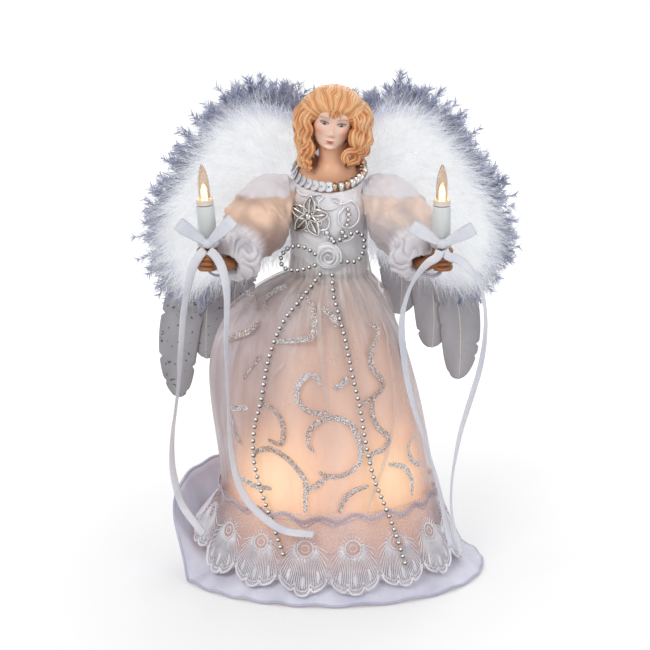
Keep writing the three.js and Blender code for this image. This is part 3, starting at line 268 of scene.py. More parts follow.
def waves(points, pitch, seed):
    """Soft random swell between about -1 and 1 over space."""
    dice = np.random.default_rng(seed)
    count = 6
    total = 0
    for _ in range(count):
        way = unit(dice.normal(size=3)) * TURN / (pitch * dice.uniform(0.6, 1.6))
        total = total + np.sin(points @ way + dice.uniform(0, TURN))
    return total / math.sqrt(count)


# Showing a shape as a piece of the object
def link(name, data):
    thing = bpy.data.objects.new(name, data)
    bpy.context.scene.collection.objects.link(thing)
    return thing


def show(name, shape, look, body="figure", stands_for=(), shades=None, thick=0.0):
    points, faces = shape
    mesh = bpy.data.meshes.new(name)
    mesh.from_pydata(np.asarray(points).tolist(), [], faces)
    mesh.polygons.foreach_set("use_smooth", [True] * len(mesh.polygons))
    if shades is not None:
        colours = np.reshape(shades, (-1, 3))
        colours = np.concatenate([colours, np.ones((len(colours), 1))], 1)
        mesh.attributes.new("shade", "FLOAT_COLOR", "POINT").data.foreach_set("color", colours.ravel())
    mesh.materials.append(look.material)
    piece = link(name, mesh)
    if thick:
        solid = piece.modifiers.new("thickness", "SOLIDIFY")
        solid.thickness = thick
        solid.offset = -1
    if body:
        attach(piece, body)
    if stands_for:
        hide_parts(*stands_for)
    return piece


def aimed(name, data, place, target):
    """A camera or a lamp at a place, turned to a target."""
    thing = link(name, data)
    thing.location = place
    thing.rotation_euler = (Vector(target) - Vector(place)).to_track_quat("-Z", "Y").to_euler()
    return thing


# Materials
BLACK = (0, 0, 0, 1)
WHITE = (1, 1, 1, 1)


def tone(red, green, blue):
    """A colour given as it is seen, from 0 to 255, turned into light."""
    seen = np.array([red, green, blue]) / 255
    light = np.where(seen <= 0.04045, seen / 12.92, ((seen + 0.055) / 1.055) ** 2.4)
    return (*light.tolist(), 1.0)


def pigment(*colour):
    """The same for a colour that is painted on point by point."""
    return np.array(tone(*colour)[:3])


def all_over(shape, colour):
    """One colour for every point of a shape."""
    return np.tile(colour, (len(shape[0]), 1))


class Tree:
    """The shading nodes of a material or of the world."""

    def __init__(self, owner):
        owner.use_nodes = True
        self.nodes = owner.node_tree.nodes
        self.links = owner.node_tree.links

    def fill(self, node, values):
        for key, value in values.items():
            if isinstance(value, bpy.types.NodeSocket):
                self.links.new(value, node.inputs[key])
            else:
                node.inputs[key].default_value = value

    def node(self, kind, values, **settings):
        node = self.nodes.new("ShaderNode" + kind)
        for key, value in settings.items():
            setattr(node, key, value)
        self.fill(node, values)
        return node

    def maths(self, operation, a, b=0.0):
        return self.node("Math", {0: a, 1: b}, operation=operation).outputs[0]

    def ramp(self, amount, *stops):
        node = self.node("ValToRGB", {"Fac": amount})
        elements = node.color_ramp.elements
        for i, (position, colour) in enumerate(stops):
            element = elements[i] if i < 2 else elements.new(position)
            element.position = position
            element.color = colour
        return node.outputs["Color"]

    def ranged(self, value, low, high, start=0.0, end=1.0, **settings):
        """Runs from low to high while a value runs from start to end."""
        values = {"Value": value, "From Min": start, "From Max": end, "To Min": low, "To Max": high}
        return self.node("MapRange", values, **settings).outputs["Result"]

    def seen_directly(self):
        """1 for the camera, for mirrors and through glass, and 0 for light that falls on the object."""
        rays = self.node("LightPath", {}).outputs
        seen = self.maths("MAXIMUM", rays["Is Camera Ray"], rays["Is Glossy Ray"])
        return self.maths("MAXIMUM", seen, rays["Is Transmission Ray"])


class Look(Tree):
    """A node material on one principled shader."""

    def __init__(self, name, **sockets):
        self.material = bpy.data.materials.new(name)
        super().__init__(self.material)
        self.shader = self.nodes["Principled BSDF"]
        self.give({key.replace("_", " "): value for key, value in sockets.items()})

    def give(self, values):
        self.fill(self.shader, values)
        return self

    def place(self, stretch=(1, 1, 1)):
        own = self.node("TexCoord", {}).outputs["Object"]
        return self.node("Mapping", {"Vector": own, "Scale": stretch}).outputs["Vector"]

    def noise(self, scale, detail=3.0, stretch=(1, 1, 1)):
        values = {"Vector": self.place(stretch), "Scale": scale, "Detail": detail}
        return self.node("TexNoise", values).outputs["Fac"]

    def cells(self, scale):
        return self.node("TexVoronoi", {"Vector": self.place(), "Scale": scale}).outputs["Color"]

    def stripes(self, pitch, direction):
        values = {"Vector": self.place(), "Scale": TURN / (20 * pitch), "Distortion": 0.6}
        return self.node("TexWave", values, bands_direction=direction).outputs["Fac"]

    def clouds(self, dark, light, scale, stretch=(1, 1, 1)):
        return self.ramp(self.noise(scale, 3, stretch), (0.3, dark), (0.7, light))

    def blend(self, amount, a, b, mode="MIX"):
        return self.node("Mix", {0: amount, 6: a, 7: b}, data_type="RGBA", blend_type=mode).outputs[2]

    def painted(self):
        return self.node("Attribute", {}, attribute_name="shade").outputs["Color"]

    def bump(self, height, depth, strength=1.0):
        values = {"Height": height, "Distance": depth, "Strength": strength}
        return self.give({"Normal": self.node("Bump", values).outputs["Normal"]})

    def mottled(self, dark, light, scale, stretch=(1, 1, 1)):
        return self.give({"Base Color": self.clouds(dark, light, scale, stretch)})

    def near(self, centre, reach):
        """1 at a point of the object, fading to 0 at a distance from it."""
        away = self.node("VectorMath", {0: self.place(), 1: centre}, operation="DISTANCE").outputs["Value"]
        return self.ranged(away, 1.0, 0.0, 0.0, reach, interpolation_type="SMOOTHSTEP")


def plain_look(name, dark, light, roughness, grain, depth, **sockets):
    """A plain finish with a slightly uneven colour and a fine grain."""
    look = Look(name, Roughness=roughness, **sockets).mottled(dark, light, grain / 6)
    return look.bump(look.noise(grain), depth)


def satin_look(name, dark, light, roughness=0.38):
    """Satin: a soft sheen, long soft shading and a fine rib."""
    look = Look(name, Roughness=roughness).mottled(dark, light, 60, (1, 1, 0.4))
    look.give({"Sheen Weight": 0.35, "Sheen Roughness": 0.4})
    rib = look.maths("MULTIPLY", look.stripes(0.45 * MM, "DIAGONAL"), 0.25)
    return look.bump(look.maths("ADD", rib, look.noise(140, 4, (1, 1, 0.3))), 0.35 * MM, 0.6)


def skirt_satin_look():
    """Peach satin with the lamps behind it shining through."""
    look = satin_look("peach_satin", tone(222, 184, 164), tone(240, 206, 186))
    glow = 0.0
    for lamp in GLOWS:
        glow = look.maths("ADD", look.near(mm(lamp), GLOW_REACH), glow)
    rise = look.node("SeparateXYZ", {"Vector": look.place()}).outputs["Z"]
    warm = (0.0, tone(255, 186, 150)), (0.5, tone(255, 192, 126)), (0.95, tone(255, 216, 156))
    low = look.ranged(rise, 0.34, 0.0, 0.0, CONE_HEIGHT)
    strength = look.maths("ADD", look.maths("MULTIPLY", glow, 0.4), low)
    return look.give({"Emission Color": look.ramp(glow, *warm), "Emission Strength": strength})


def organza_look(name, clear, dense):
    """Sheer cloth: clearer or denser as it is painted, greyer with painted shade where its paint says, and
    uneven along its threads.
    """
    look = Look(name, Roughness=0.4)
    paint = look.node("SeparateColor", {"Color": look.painted()}).outputs
    pale = look.clouds(tone(214, 200, 196), tone(240, 230, 226), 70, (1, 1, 0.3))
    # The grey of the painted shade on the cloth
    grey = look.clouds(tone(182, 164, 168), tone(222, 210, 214), 90, (1, 1, 0.3))
    amount = look.ranged(paint["Red"], clear, dense)
    thread = look.ranged(look.noise(240, 4, (1, 1, 0.06)), 0.82, 1.14, 0.3, 0.72)
    look.give({"Base Color": look.blend(paint["Green"], pale, grey)})
    look.give({"Alpha": look.maths("MULTIPLY", amount, thread), "Sheen Weight": 0.4, "Sheen Roughness": 0.3})
    return look.bump(look.noise(420), 0.2 * MM)


def glitter_look():
    """Glitter printed in scrolls: tiny flakes with painted glints, each flake a different brightness from
    dark to white.
    """
    look = Look("glitter", Metallic=0.2, Roughness=0.5)
    flake = look.cells(2700)
    # Painted glints: each flake's colour from dark to white
    silver = look.ramp(flake, (0.2, tone(118, 112, 116)), (0.5, tone(206, 204, 208)), (0.75, WHITE))
    rosy = look.ramp(flake, (0.2, tone(104, 82, 76)), (0.5, tone(176, 154, 146)), (0.75, tone(244, 234, 228)))
    patch = look.ramp(look.noise(24, 2), (0.4, BLACK), (0.6, WHITE))
    bare = look.ramp(look.cells(3000), (0.2, (0.35, 0.35, 0.35, 1)), (0.5, WHITE))
    look.give({"Base Color": look.blend(patch, silver, rosy), "Alpha": bare})
    return look.bump(flake, 0.1 * MM)


def net_look():
    """Fine net ground of the lace, closer towards its foot."""
    look = Look("lace_net", Roughness=0.7).mottled(tone(190, 182, 190), tone(224, 218, 224), 70)
    mesh = look.node("TexVoronoi", {"Vector": look.place(), "Scale": 900.0}, feature="DISTANCE_TO_EDGE")
    threads = look.ranged(mesh.outputs["Distance"], 0.5, 0.08, 0.05, 0.3)
    low = look.node("SeparateColor", {"Color": look.painted()}).outputs["Red"]
    look.give({"Alpha": look.maths("ADD", threads, look.maths("MULTIPLY", low, 0.55))})
    return look.bump(look.noise(500), 0.2 * MM)


def painted_look(name, roughness, grain, depth, stretch=(1, 1, 1), **sockets):
    """A surface with its colours painted on, slightly uneven."""
    look = Look(name, Roughness=roughness, **sockets)
    uneven = look.ramp(look.noise(grain, 3, stretch), (0.25, (0.88, 0.86, 0.85, 1)), (0.75, WHITE))
    look.give({"Base Color": look.blend(1.0, look.painted(), uneven, "MULTIPLY")})
    return look.bump(look.noise(3 * grain, 4, stretch), depth)


def sleeve_look():
    """White satin with a painted peach glow on its puffs where a lamp shines through them, and a faint
    painted glow of its painted colours all over.
    """
    look = painted_look("sleeve_satin", 0.4, 90, 0.3 * MM)
    return look.give({"Sheen Weight": 0.3, "Emission Color": look.painted(), "Emission Strength": 0.06})


def glass_look():
    look = Look("bulb_glass", Roughness=0.02, IOR=1.3)
    look.give({"Transmission Weight": 1.0})
    look.mottled(tone(230, 212, 194), tone(244, 232, 220), 200)
    return look.bump(look.noise(180), 0.05 * MM)


def shining_look(name, body, body_grain, warm, warm_grain, strength, **sockets):
    """Something that gives light, with its own pair of colours and the light's pair."""
    look = Look(name, **sockets).mottled(*body, body_grain)
    return look.give({"Emission Color": look.clouds(*warm, warm_grain), "Emission Strength": strength})


def feather_look(name, specks):
    """Grey-white vane with slanting barbs, and dark specks where the feather has them."""
    look = painted_look(name, 0.75, 160, 0.15 * MM, (1, 1, 0.5))
    base = look.shader.inputs["Base Color"].links[0].from_socket
    spot = look.ramp(look.noise(420, 1), (0.665, BLACK), (0.7, WHITE))
    strength = look.maths("MULTIPLY", spot, specks)
    return look.give({"Base Color": look.blend(strength, base, tone(96, 94, 98)), "Sheen Weight": 0.3})


# Sizes of the gown
CONE_HEIGHT = 158 * MM
CONE_TOP = 14.5 * MM
CONE_HALF_WIDTH = 55 * MM
CONE_HALF_DEPTH = 49 * MM
SATIN_OUT = 1.1 * MM
SATIN_RANGE = mm([2.5, 157.2])
ORGANZA_OUT = 2.0 * MM
ORGANZA_HEM = 18 * MM
ORGANZA_SIDES = 420
FOLDS = 10
FOLD_DEPTH = 2.5 * MM
# How far the overskirt swings out, which way its left side points, and where the swing ends down the cone
FLARE_LEFT = 38 * MM
FLARE_RIGHT = 5 * MM
FLARE_TURN = math.radians(185)
FLARE_END = 0.734
GATHERS_FOOT = 128 * MM
GATHERS_TOP = 168 * MM
GATHERS_TOP_FRONT = 161 * MM
LACE_OUT = 0.9 * MM
LACE_TOP = 40 * MM
LACE_HEADING = 7.5 * MM
LACE_SCALLOPS = 16
LACE_SPREAD = mm([13.5, 5])
FLOUNCE_OVERHANG = mm([10, 1])
FLOUNCE_RISE = 14 * MM
# How far the flounce sweeps up at the back of its left side, round which direction and how far to each side
TRAIN_LIFT = 44 * MM
TRAIN_TURN = math.radians(130)
TRAIN_HALF = math.radians(75)
WAIST = CONE_HEIGHT + FIT_GAP
# Where the lamps inside shine through, in millimetres
GLOWS = [(-29, -40, 62), (35, -38, 62), (-30, 38, 62), (30, 38, 62)]
GLOW_REACH = 42 * MM

# Sizes of the body
SHOULDER = mm([20.1, 1, 195.8])
TORSO_RISES = mm([0, 8, 20, 31, 38, 42])
TORSO_HALF_WIDTHS = mm([17.5, 17, 17.6, 18.5, 17.8, 16])
TORSO_HALF_DEPTHS = mm([13, 12.4, 13.8, 14.8, 13.4, 12.6])
BODICE_OUT = 1.3 * MM
NECKLINE_FRONT = 43.5 * MM
NECKLINE_BACK = 55 * MM
HEAD = mm([2, -2, 236.8])
HEAD_TILT = math.radians(9)
HEAD_NOD = math.radians(8)

# Sizes of the arms, candles and ribbons
HANDS = {"left": mm([-57.5, -45, 176.8]), "right": mm([53.5, -45, 176.8])}
ELBOW = mm([36, -14, 185.3])
WRIST = mm([-9, 5, -4])
SIGNS = {"left": -1, "right": 1}
CANDLE_LEANS = {"left": math.radians(4), "right": 0.0}
CANDLE_RADIUS = 4.35 * MM
CANDLE_LENGTH = 20.4 * MM
FIST_HEIGHT = 11 * MM
RIBBON_WIDTH = 4.4 * MM
# Places along each ribbon tail, from the hand's middle, in millimetres
RIBBON_TAILS = {
    ("left", "inner"): [
        (0.5, -7.35, 6.2), (3, -8, 4.2), (6, -8, -0.8), (8.6, -8.5, -12.3), (8.7, -8.5, -25.3),
        (8.1, -8.5, -38.1), (8.3, -8.5, -49.8), (8.6, -8.5, -61.8), (8.9, -8.5, -73.8), (9.2, -8.5, -84.8),
        (10.1, -8.5, -96.8), (12.5, -7.8, -109.8), (16.5, -6, -120.3), (21, -5, -126.8), (26.2, -5, -131.8),
        (35.2, -7.4, -136.8), (50, -11, -137.5),
    ],
    ("left", "outer"): [
        (-1.5, -6.35, 6.2), (-4, -6.8, 3.7), (-7.5, -6, -2.8), (-10, -5, -13.3), (-12.5, -3.5, -26.8),
        (-13.7, -2, -40.3), (-14.7, -0.5, -53.3), (-16.1, 0.5, -65.8), (-17.7, 1.5, -77.8),
        (-19.2, 2.5, -87.8), (-20, 3.5, -97.8), (-20, 5, -108.8), (-18.3, 6, -119.8), (-15.5, 6.5, -129.3),
        (-5, 4, -143.8),
    ],
    ("right", "inner"): [
        (-0.9, -7.35, 6.2), (-2.1, -7.9, 3.2), (-6.5, -8, 0.2), (-11.9, -8, -6.3), (-15.5, -8, -13.8),
        (-18.3, -8, -24.8), (-18.7, -8, -33.8), (-17.5, -8, -45.8), (-15.1, -8, -60.8), (-11.9, -8, -73.8),
        (-8, -8.2, -85.8), (-4.5, -8.6, -97.3), (-1, -9, -108.8), (1.9, -9.5, -120.8), (4.3, -10, -132.8),
        (7, -10.5, -143.8),
    ],
    ("right", "outer"): [
        (1.1, -6.35, 6.2), (2.7, -6.9, 3.4), (8.5, -6.7, 1.2), (15.5, -6.5, -5.8), (19.7, -6.4, -14.8),
        (21.5, -6.2, -26.8), (21.2, -6, -40.8), (18.9, -5.8, -55.3), (16.1, -5.6, -65.8),
        (13.3, -5.6, -75.8), (10.7, -5.6, -85.8), (8.7, -5.8, -96.8), (6.9, -6, -110.8), (6.7, -6.6, -124.8),
        (8.5, -7.4, -136.8), (12.5, -8, -148.8),
    ],
}


# Camera
CAMERA_TARGET = Vector((-0.002, 0, 0.130))
CAMERA_AWAY = 1.083
CAMERA_RISE = math.radians(17)
CAMERA_LENS = 118.8
SENSOR_WIDTH = 36


def make_camera():
    data = bpy.data.cameras.new("camera")
    data.lens = CAMERA_LENS
    data.sensor_width = SENSOR_WIDTH
    place = CAMERA_TARGET + CAMERA_AWAY * Vector((0, -math.cos(CAMERA_RISE), math.sin(CAMERA_RISE)))
    bpy.context.scene.camera = aimed("camera", data, place, CAMERA_TARGET)


make_camera()

# Ribbon tails, hanging free from the bows
ribbon_look = satin_look("sheer_ribbon", tone(226, 228, 240), tone(250, 250, 254), 0.3)
ribbon_look.give({"Alpha": ribbon_look.ranged(ribbon_look.noise(120), 0.62, 0.98)})


def ribbon_tail(side, place, seed):
    """A soft flat ribbon that turns a little on its way down."""
    route = HANDS[side] + mm(RIBBON_TAILS[side, place])
    path = even(spline(route, 400), 140)
    _, across, through = beside(path, [0, -1, 0])
    dice = np.random.default_rng(seed)
    share = shares(len(path))[:, None]
    twist = (1.02 + 0.25 * np.sin(TURN * 1.4 * share + dice.uniform(0, TURN))) * smooth(share * 6)
    lay = np.cos(twist) * across + np.sin(twist) * through
    span = both_ways(7)
    cup = 0.25 * MM * (1 - span**2)[:, None] * through[:, None]
    shape = skin(path[:, None] + RIBBON_WIDTH / 2 * span[:, None] * lay[:, None] + cup)
    name = f"{side}_ribbon_tail_{place}"
    piece = show(name + "_ribbon", shape, ribbon_look, None, [name], thick=0.12 * MM)
    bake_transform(piece)


for number, (side, place) in enumerate(RIBBON_TAILS):
    ribbon_tail(side, place, number)


# Gown: the cone that it hangs on
def bell(z):
    return (1 - np.clip(z / CONE_HEIGHT, 0, 1) ** 1.6) ** 0.8


def around_cone(angle, z, out):
    half_width = mix(CONE_TOP, CONE_HALF_WIDTH, bell(z)) + out
    half_depth = mix(CONE_TOP, CONE_HALF_DEPTH, bell(z)) + out
    return oval(half_width, half_depth, angle, z)


def fold_depth(z):
    return FOLD_DEPTH * (1.15 - z / CONE_HEIGHT)


def flare(angle, z):
    """How far the overskirt swings out at its loose sides, most at the left."""
    drop = np.clip((CONE_HEIGHT - z) / CONE_HEIGHT, 0, 1)
    swell = np.sin(math.pi * drop**0.7) * np.maximum(0, 1 - drop / FLARE_END)
    left = np.maximum(0, np.cos(angle - FLARE_TURN)) ** 4
    right = np.maximum(0, np.cos(angle)) ** 4
    return swell * (FLARE_LEFT * left + FLARE_RIGHT * right)


def organza_crest(angle, z):
    return ORGANZA_OUT + fold_depth(z) + flare(angle, z)


def on_crest(angle, z, lift):
    """A place above the crests of the overskirt's folds."""
    return around_cone(angle, z, organza_crest(angle, z) + lift)


def on_organza(angle, z, lift=0.0):
    """A point on the overskirt, with its soft folds and the fine gathers below the waist."""
    fold = fold_depth(z) * (1 - np.cos(FOLDS * angle)) / 2
    gather = rising(z, 70 * MM, 90 * MM)
    ripple = 0.35 * MM * (1 + np.sin(23 * angle + 3 * np.sin(z / (31 * MM))))
    fine = 0.2 * MM * (1 + np.sin(41 * angle + 4 * np.sin(z / (19 * MM))))
    return around_cone(angle, z, organza_crest(angle, z) - fold + gather * (ripple + fine) + lift)


def make_underskirt():
    """Satin over the cone, a little fuller at the side where the overskirt swings out."""
    angle = around(160)
    z = np.linspace(*SATIN_RANGE, 70)[:, None]
    soft = 0.08 * MM * (1 + np.sin(17 * angle + 3 * np.sin(z / (40 * MM))))
    drape = 0.55 * flare(angle, z)
    shape = skin(around_cone(angle, z, SATIN_OUT + soft + drape), closed=True)
    piece = show("satin_skirt", shape, skirt_satin_look(),
                 stands_for=["satin_underskirt"], thick=0.5 * MM)


def make_overskirt():
    """Organza over the satin, denser in its gathers, with painted shade where it swings free, at its left and
    right sides and in patches below the waist.
    """
    angle = around(ORGANZA_SIDES)
    z = np.linspace(ORGANZA_HEM, CONE_HEIGHT, 110)[:, None]
    points = on_organza(angle, z)
    high = rising(z, 104 * MM, 50 * MM)
    veil = np.clip(0.5 + 0.5 * waves(points * [1, 1, 0.25], 16 * MM, 51), 0, 1)
    loose = smooth(flare(angle, z) / (9 * MM))
    rim = rising(np.abs(np.cos(angle)), 0.84, 0.16)
    dense = np.clip(0.12 * veil + high * (0.15 + 0.5 * veil) + 0.5 * loose + 0.5 * rim, 0, 1)
    # Painted shade: greyer where it swings free, at its left and right sides and in patches below the waist
    grey = np.clip(0.75 * loose + 0.6 * rim + 0.25 * high * veil, 0, 1)
    shades = stacked(dense, grey, 0.0)
    piece = show("organza_skirt", skin(points, closed=True), organza_look("organza", 0.2, 0.9),
                 stands_for=["organza_overskirt"], shades=shades)
    gathers = make_waist_gathers()
    scrolls = make_scrolls()
    edges = make_edges()


def make_waist_gathers():
    """The bunched top of the overskirt, drawn in round the foot of the bodice and fading into its folds."""
    angle = around(ORGANZA_SIDES)
    front = hump(np.arccos(np.clip(-np.sin(angle), -1, 1)), 0.45)
    top = mix(GATHERS_TOP, GATHERS_TOP_FRONT, front)
    rows, paint = [], []
    for share in shares(30):
        z = mix(GATHERS_FOOT, top, share)
        pleat = np.sin(19 * angle + 3 * np.sin(5 * angle) + 2 * share)
        pleat += 0.5 * np.sin(33 * angle + 4 * np.sin(3 * angle))
        deep = mix(0.4, 1.3, math.sin(math.pi * min(1, share * 1.15))) * MM
        low = on_organza(angle, np.minimum(z, CONE_HEIGHT), 0.5 * MM)
        high = on_bodice(angle, np.maximum(z - WAIST, 0), 0.7 * MM)
        spare = 1.2 * MM * math.sin(math.pi * share) ** 0.6
        reach = np.maximum(from_axis(low), from_axis(high)) + spare + deep * (pleat + 1.2) * 0.5
        out = reach[:, None] * unit(low[:, :2])
        rows.append(stacked(out[:, 0], out[:, 1], z))
        fade = smooth((share - 0.1 - 0.12 * np.sin(5 * angle + 1) - 0.08 * np.sin(11 * angle)) / 0.6)
        # Denser on the pleats' ridges, with painted shade, greyer, in the hollows between them
        ridge = np.clip(0.55 + 0.4 * pleat, 0, 1)
        paint.append(stacked(fade * (0.5 + 0.5 * ridge), 0.25 * (1 - ridge), 0.0))
    look = organza_look("organza_gathered", 0.0, 0.62)
    return show("organza_gathers", skin(np.stack(rows), closed=True), look, shades=np.stack(paint))


# Glitter scrolls on the overskirt: points across and up as the front view shows them, in millimetres
SCROLLS = [
    [(-49, 140), (-41, 147.5), (-34.5, 146.5), (-33, 138.5)],
    [(-49.5, 122.5), (-43, 125), (-36, 128), (-32, 133)],
    [(-27.5, 138.5), (-29, 143), (-24, 148), (-18, 151)],
    [(-25.5, 122), (-15, 123), (-7.5, 125), (-6.5, 136), (-8.5, 143), (-13, 148.5)],
    [(-33, 114.5), (-39, 108), (-42.5, 102.5)],
    [(-4, 99), (-6.5, 103.5), (-11.5, 103.5), (-15, 99), (-15.8, 92.5), (-11.5, 86.5), (-5, 84.5),
     (0.2, 85.5)],
    [(2, 97), (6, 99), (9.5, 103.5)],
    [(-3, 140), (1, 136), (3.5, 130.5)],
    [(-7.4, 64.5), (-10.5, 69.5), (-9, 76.5), (-3, 81), (3.5, 82), (10.2, 79.2), (14, 73), (15.7, 65.8),
     (14.5, 58.5), (8.5, 53), (0, 51.8), (-5, 54)],
    [(-33.5, 90), (-27.5, 86.5), (-23.3, 80), (-22.5, 73), (-24, 68.5), (-30, 70.5)],
    [(-37.5, 59.5), (-36, 64), (-30, 65.8), (-23.3, 63), (-16.5, 56.8), (-11.6, 48.7), (-11.6, 40.5),
     (-11.8, 33)],
    [(-11.6, 45), (-6.5, 46.8), (-0.5, 51.8)],
    [(-50, 51), (-43.5, 49.5), (-36.7, 46), (-28.4, 45)],
    [(19.5, 46.8), (12, 44), (7, 38.8), (5, 33)],
    [(18, 131.5), (22, 128.5), (20.3, 118), (21.2, 108), (27, 99), (22, 92.7), (15.3, 89)],
    [(22, 92), (21.2, 85.5), (23.7, 77.5), (29.5, 71), (27, 65.8), (21.2, 63), (20.3, 57.7)],
    [(43, 73), (39.6, 66.7), (41.3, 59.5), (46.3, 55.8)],
    [(29.6, 57.6), (37, 55.8), (41.3, 48.7), (41.3, 39.7)],
    [(-49.3, 86.5), (-40, 87.3)],
    [(-49, 84), (-46.8, 74), (-43.5, 67.5)],
    [(30, 132), (34.5, 121), (37, 108)],
]
SCROLL_WIDTH = 3.2 * MM
# Free edge and folds down the front of the overskirt, in the same way
EDGES = [
    [(24, 132), (30.3, 110.5), (32.7, 92.5), (31.8, 79), (28, 61), (22.6, 44.5), (18.7, 33)],
    [(-4.4, 142), (-3.7, 115.5), (-1, 87.5)],
    [(-22, 110.5), (-30, 101), (-33.3, 87.5)],
]
EDGE_WIDTH = 2.6 * MM
# How much a nearer place looks lower from the front, and the lowest and highest place of a stroke
VIEW_DIP = 0.306
STROKE_RANGE = (42 * MM, 155 * MM)
STROKE_POINTS = 60


def stroke(points, back, width):
    """A scroll or an edge laid on the front or the back of the overskirt."""
    x, seen = spline(mm(points), STROKE_POINTS).T
    height = seen
    for _ in range(6):
        low, high = np.full(STROKE_POINTS, -math.pi + 0.1), np.full(STROKE_POINTS, -0.1)
        for _ in range(16):
            angle = (low + high) / 2
            short = on_organza(angle, height)[..., 0] < x
            low, high = np.where(short, angle, low), np.where(short, high, angle)
        height = np.clip(seen - VIEW_DIP * on_organza(angle, height)[..., 1], *STROKE_RANGE)
    lift = mix(0.3, 3.4, rising(height, 118 * MM, 16 * MM)) * MM
    path = on_organza(angle + math.pi * back, height, lift)
    _, across, _ = beside(path, unit(path * [1, 1, 0]))
    half = width / 2 * round_ended(shares(STROKE_POINTS), 0.05, 0.9, 0.35)
    return bands(path, across, half, 4)


def make_scrolls():
    strokes = [stroke(points, back, SCROLL_WIDTH) for back in (0, 1) for points in SCROLLS]
    return show("glitter_scrolls", merged(strokes), glitter_look())


def make_edges():
    shape = merged([stroke(points, 0, EDGE_WIDTH) for points in EDGES])
    shades = all_over(shape, (0.8, 0.0, 0.0))
    return show("organza_edges", shape, organza_look("organza_edge", 0.0, 0.5), shades=shades)


# Lace hem and flounce
def lace_top(angle, lift):
    return on_crest(angle, LACE_TOP, LACE_OUT + lift)


def beyond_lace(angle, out):
    top = lace_top(angle, 0.0)
    return top[..., 0] + out[0] * np.cos(angle), top[..., 1] + out[1] * np.sin(angle)


def train_lift(angle):
    away = np.arccos(np.clip(np.cos(angle - TRAIN_TURN), -1, 1))
    fall = math.pi / 2 * np.minimum(away / TRAIN_HALF, 1)
    return TRAIN_LIFT * np.sqrt(np.maximum(0, np.cos(fall)))


def on_flounce(angle, share):
    seam = around_cone(angle, FLOUNCE_RISE, SATIN_OUT + FIT_GAP)
    rim_x, rim_y = beyond_lace(angle, LACE_SPREAD + FLOUNCE_OVERHANG)
    fall = FLOUNCE_RISE * (1 - share) ** 1.5 + train_lift(angle) * share**1.8
    ripple = 0.5 * MM * share * (1 + np.sin(23 * angle + 2 * np.sin(3 * angle)))
    return stacked(mix(seam[..., 0], rim_x, share), mix(seam[..., 1], rim_y, share), 1 * MM + fall + ripple)


def on_lace(angle, share, lift=0.0):
    top = lace_top(angle, lift)
    x = top[..., 0] + LACE_SPREAD[0] * np.cos(angle) * share
    y = top[..., 1] + LACE_SPREAD[1] * np.sin(angle) * share
    tip = np.hypot(*beyond_lace(angle, LACE_SPREAD))
    seam, rim = (from_axis(on_flounce(angle, end)) for end in (0.0, 1.0))
    rest = on_flounce(angle, np.minimum(1, (tip - seam) / (rim - seam)))[..., 2] + 3.5 * MM
    return stacked(x, y, mix(LACE_TOP, rest, share) + lift * share)


def on_heading(angle, drop, lift=0.0):
    """A place on the flat top of the lace, which lies against the overskirt."""
    return on_crest(angle, LACE_TOP + LACE_HEADING - drop, LACE_OUT + lift)


def make_flounce():
    angle = around(320)
    look = satin_look("flounce_satin", tone(194, 194, 213), tone(230, 230, 243))
    grid = np.stack([on_flounce(angle, share) for share in shares(18)])
    piece = show("flounce", skin(grid, closed=True), look,
                 stands_for=["satin_flounce"], thick=0.6 * MM)
    rim = on_flounce(np.append(angle, angle[0]), 1.0)
    piping_look = satin_look("piping_satin", tone(172, 172, 196), tone(204, 204, 224))
    piping = show("flounce_piping", tube(rim, 0.8 * MM, 8), piping_look)


def lace_leaf(angle_from, share_from, angle_to, share_to):
    """A raised stitched leaf between two places on the lace."""
    along = shares(9)
    angle = mix(angle_from, angle_to, along)
    share = mix(share_from, share_to, along)
    half = 0.8 * MM * round_ended(along, 0.1, 0.86, 0.8)
    rows = []
    for side, rise in ((-1, 0), (-0.5, 0.8), (0, 1), (0.5, 0.8), (1, 0)):
        rows.append(on_lace(angle + side * half / (62 * MM), share, (0.15 + 0.45 * rise) * MM))
    return skin(np.stack(rows, 1))


def stitched(angle, share, radius):
    return tube(on_lace(angle, share, 0.3 * MM), radius, 6)


def lace_reach(angle):
    return 1 - 0.2 * (1 - np.abs(np.sin(LACE_SCALLOPS * angle / 2)))


def lace_shell(middle):
    """One motif: a rayed oval ring, a fan of threads and a foot of three lobes with a leaf in each."""
    half = TURN / LACE_SCALLOPS / 2

    def eyelet(turn, wide, high):
        return middle + wide * half * np.cos(turn), 0.3 + high * np.sin(turn)

    turn = np.linspace(0, TURN, 29)
    shapes = [stitched(*eyelet(turn, 0.34, 0.12), 0.42 * MM), stitched(*eyelet(turn, 0.16, 0.055), 0.26 * MM)]
    far = np.array([1.05, 1.4, 1.75])
    shapes += [stitched(*eyelet(ray, 0.34 * far, 0.12 * far), 0.24 * MM) for ray in np.linspace(0, TURN, 22)]
    run = shares(10)
    for k in both_ways(29):
        angle, share = eyelet(math.pi / 2 - math.radians(112) * k, 0.4, 0.14)
        foot = middle + 0.96 * half * min(1, max(-1, 1.25 * k))
        end = lace_reach(foot) - 0.1 - 0.36 * max(0, abs(k) - 0.78) / 0.22
        shapes.append(stitched(mix(angle, foot, run**0.8), mix(share, end, run), 0.26 * MM))
    span = both_ways(15)
    for k in (-1, 0, 1):
        edge = middle + half * (0.62 * k + 0.31 * span)
        foot = lace_reach(edge) - 0.09 * span**4
        shapes += [stitched(edge, foot, 0.62 * MM), stitched(edge, foot - 0.07, 0.3 * MM)]
        leaf = middle + half * 0.56 * k
        shapes.append(lace_leaf(leaf, lace_reach(leaf) - 0.3, leaf + 0.04 * half * k, lace_reach(leaf) - 0.1))
    return shapes


